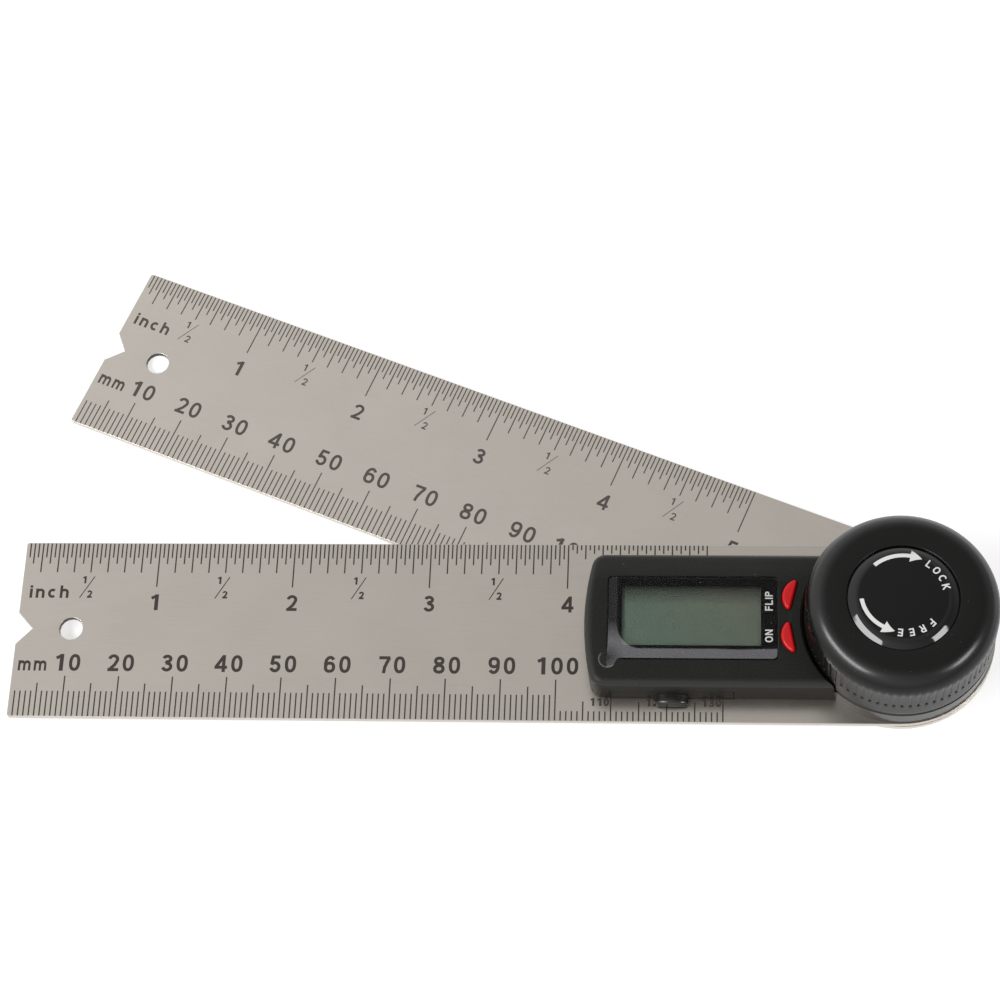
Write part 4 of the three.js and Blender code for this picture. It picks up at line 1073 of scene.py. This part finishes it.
def build_knob():
    """The knob's profile turned round the pivot, with its outer side cut in at each groove."""
    profile = knob_profile()
    offsets = [-0.712, -0.42, -GROOVE_HALF, -0.15, 0.0, 0.15, GROOVE_HALF, 0.42]
    outer_side = 14.8
    verts = []
    for groove in range(GROOVES):
        for offset in offsets:
            angle = GROOVE_PHASE + groove * GROOVE_PITCH + offset / KNOB_RADIUS
            share = max(0.0, 1.0 - abs(offset) / GROOVE_HALF)
            for radius, z in profile:
                if radius > outer_side:
                    radius -= groove_depth(z) * min(1.0, share * 1.35)
                verts.append((radius * cos(angle), radius * sin(angle), z + BASE_TOP))
    faces = wrapped_faces(GROOVES * len(offsets), len(profile), closed=True)
    mesh = mesh_from("knob_moulding", verts, faces)
    place_piece(mesh, "knob_moulding", "knob", "knob", "lock_knob", crease=28)


build_knob()


# Label on the knob

LABEL_STEP = 0.05
ARROW_WIDTH = 0.72
HEAD_LENGTH = 2.1
HEAD_WIDTH = 2.3


def label_slope(radius):
    """How steeply the label falls at a radius: nearly flat, then a rounded rim."""
    dome_slope, dome_radius = 0.038, 7.3
    rim_slope, rim_start, rim_width = 0.55, 7.95, 1.15
    share = min(max((radius - rim_start) / rim_width, 0.0), 1.0)
    return dome_slope * radius / dome_radius + rim_slope * share * share * (3 - 2 * share)


# How far the label has fallen at each step from its middle
label_drops = [0.0]
while (len(label_drops) - 1) * LABEL_STEP < LABEL_RADIUS + 0.2:
    label_drops.append(label_drops[-1] + LABEL_STEP * label_slope((len(label_drops) - 0.5) * LABEL_STEP))


def label_height(radius):
    """Height of the label's domed top at a radius, above the moving rule's underside."""
    place = radius / LABEL_STEP
    i = int(place)
    return LABEL_TOP - label_drops[i] - (label_drops[i + 1] - label_drops[i]) * (place - i)


def build_label():
    crown = [
        9.8, 9.65, 9.5, 9.35, 9.2, 9.05, 8.9, 8.75, 8.6, 8.45, 8.3, 8.15,
        7.95, 7.7, 7.3, 6.9, 6.4, 5.6, 4.4, 3.0, 1.0,
    ]
    profile = [(1.0, LABEL_FLOOR), (LABEL_RADIUS, LABEL_FLOOR)]
    profile += [(radius, label_height(radius)) for radius in crown]
    columns, rows = 160, len(profile)
    angles = [2 * pi * i / columns for i in range(columns)]
    verts = [(radius * cos(angle), radius * sin(angle), z) for angle in angles for radius, z in profile]
    faces = wrapped_faces(columns, rows)
    faces.append(tuple(column * rows for column in range(columns)))
    faces.append(tuple(column * rows + rows - 1 for column in range(columns)))
    mesh = mesh_from("label_disc", verts, faces)
    place_piece(mesh, "label_disc", "label", "knob", "knob_label", crease=50)


def label_plate(marks, sections):
    """A thin plate of ink on the label through sections, each an angle and its radii outward."""
    low, high = -0.01, 0.018
    verts = [
        (radius * cos(angle), radius * sin(angle), label_height(radius) + lift)
        for angle, radii in sections for radius in radii for lift in (low, high)
    ]
    row = 2 * len(sections[0][1])
    last = row * (len(sections) - 1)
    faces = []
    for start in range(0, last, row):
        for a in range(start, start + row - 2, 2):
            faces += [(a, a + 2, a + row + 2, a + row), (a + 1, a + row + 1, a + row + 3, a + 3)]
        faces += [(a, a + row, a + row + 1, a + 1) for a in (start, start + row - 2)]
    for start in (0, last):
        faces += [(a, a + 1, a + 3, a + 2) for a in range(start, start + row - 2, 2)]
    marks.add((verts, faces))


def arc_arrow(marks, start, end, start_radius, end_radius):
    """A bent bar from a start angle to an end angle, in degrees, with an arrowhead at its end."""
    steps, slices = 28, 6
    bar, head = [], []
    for step in range(steps + 1):
        share = step / steps
        radius = start_radius + (end_radius - start_radius) * share
        angle = radians(start + (end - start) * share)
        bar.append((angle, (radius - ARROW_WIDTH / 2, radius + ARROW_WIDTH / 2)))
    turn = HEAD_LENGTH / end_radius * (1 if end > start else -1)
    for step in range(slices + 1):
        share = step / slices
        half = max(HEAD_WIDTH / 2 * (1 - share), 0.02)
        sides = [end_radius + side for side in (-half, -half / 2, 0.0, half / 2, half)]
        head.append((radians(end) + turn * share, sides))
    label_plate(marks, bar)
    label_plate(marks, head)


def arc_word(marks, text, start, end, radius, height=1.4):
    """Letters spread clockwise between two angles, in degrees, with their tops outward."""
    for i, letter in enumerate(text):
        angle = radians(start + (end - start) * i / (len(text) - 1))
        verts, faces = word(letter, height, weight=0.175)
        c, s = cos(angle - pi / 2), sin(angle - pi / 2)
        placed = []
        for x, y, z in verts:
            px = (radius - height / 2 + y) * cos(angle) + c * x
            py = (radius - height / 2 + y) * sin(angle) + s * x
            placed.append((px, py, label_height(sqrt(px * px + py * py)) + z + 0.008))
        marks.add((placed, faces))


build_label()

label_marks = Print()
arc_arrow(label_marks, 130, 80, 7.65, 7.75)
arc_arrow(label_marks, 184, 238, 7.25, 6.75)
arc_word(label_marks, "LOCK", 53, 14, 7.6)
arc_word(label_marks, "FREE", -46, -96, 6.85)
place_print(label_marks, "label_marks", "knob", "white_ink")


# Studio and camera


def area_lamp(name, position, target, width, height, power):
    lamp = bpy.data.lights.new(name, "AREA")
    lamp.shape = "RECTANGLE"
    lamp.size = width
    lamp.size_y = height
    lamp.energy = power
    obj = add_object(name, lamp)
    obj.location = position
    aim = Vector(target) - Vector(position)
    obj.rotation_euler = aim.to_track_quat("-Z", "Y").to_euler()


def build_floor():
    """A floor that glows white to the camera and in reflections, and casts no light of its own."""
    size, height, glow = 4.0, -0.0002, 0.58
    mesh = bpy.data.meshes.new("studio_floor")
    corners = [(-size, -size, height), (size, -size, height), (size, size, height), (-size, size, height)]
    mesh.from_pydata(corners, [], [(0, 1, 2, 3)])
    material, tree, shader = start_material("studio_floor", (0.5, 0.5, 0.5), 0.9, specular=0.0)
    feed(tree, WHITE, shader.inputs["Emission Color"])
    seen = rays(tree, "Camera", "Transmission", "Glossy")
    feed(tree, times(tree, seen, glow), shader.inputs["Emission Strength"])
    mesh.materials.append(material)
    obj = add_object("studio_floor", mesh)


def build_world():
    """A room that is white to the camera, and brighter to the left and near the floor
    in what it lends the finder."""
    world = bpy.data.worlds.new("studio")
    bpy.context.scene.world = world
    world.use_nodes = True
    tree = world.node_tree
    background = tree.nodes["Background"]
    x, _, z = axes(tree, "Generated")
    near_floor = maths(tree, "MULTIPLY_ADD", ramp(tree, z, 0.95, 0.35), 0.4, 0.585)
    room = maths(tree, "SUBTRACT", near_floor, times(tree, x, 0.64))
    room = maths(tree, "MINIMUM", maths(tree, "MAXIMUM", room, 0.3), 0.9)
    seen = rays(tree, "Camera", "Transmission")
    feed(tree, maths(tree, "MAXIMUM", seen, room), background.inputs["Strength"])
    feed(tree, WHITE, background.inputs["Color"])


def build_camera():
    """The camera found from the scales and edges in the photograph; its place is in metres."""
    camera = bpy.data.cameras.new("camera")
    camera.sensor_width = 36.0
    camera.lens = 97.2276
    camera.clip_start = 0.01
    camera.clip_end = 20.0
    obj = add_object("camera", camera)
    right = Vector((0.9960014, 0.0392923, -0.0802327))
    up = Vector((-0.0019464, 0.9074174, 0.4202259))
    back = right.cross(up).normalized()
    turn = Matrix((right, up, back)).transposed().to_4x4()
    obj.matrix_world = Matrix.Translation((-0.027945, -0.183739, 0.4562)) @ turn
    bpy.context.scene.camera = obj


# Lamps: place, aim, width and height in metres, and power in watts
area_lamp("softbox_left", (-0.8, -0.37, 0.95), (-0.06, 0.02, 0.0), 1.0, 0.26, 9.6)
area_lamp("softbox_right", (0.78, -0.34, 0.78), (0.0, 0.0, 0.01), 0.4, 0.22, 3.2)
build_floor()
build_world()
build_camera()
bpy.context.scene.view_settings.view_transform = "Standard"
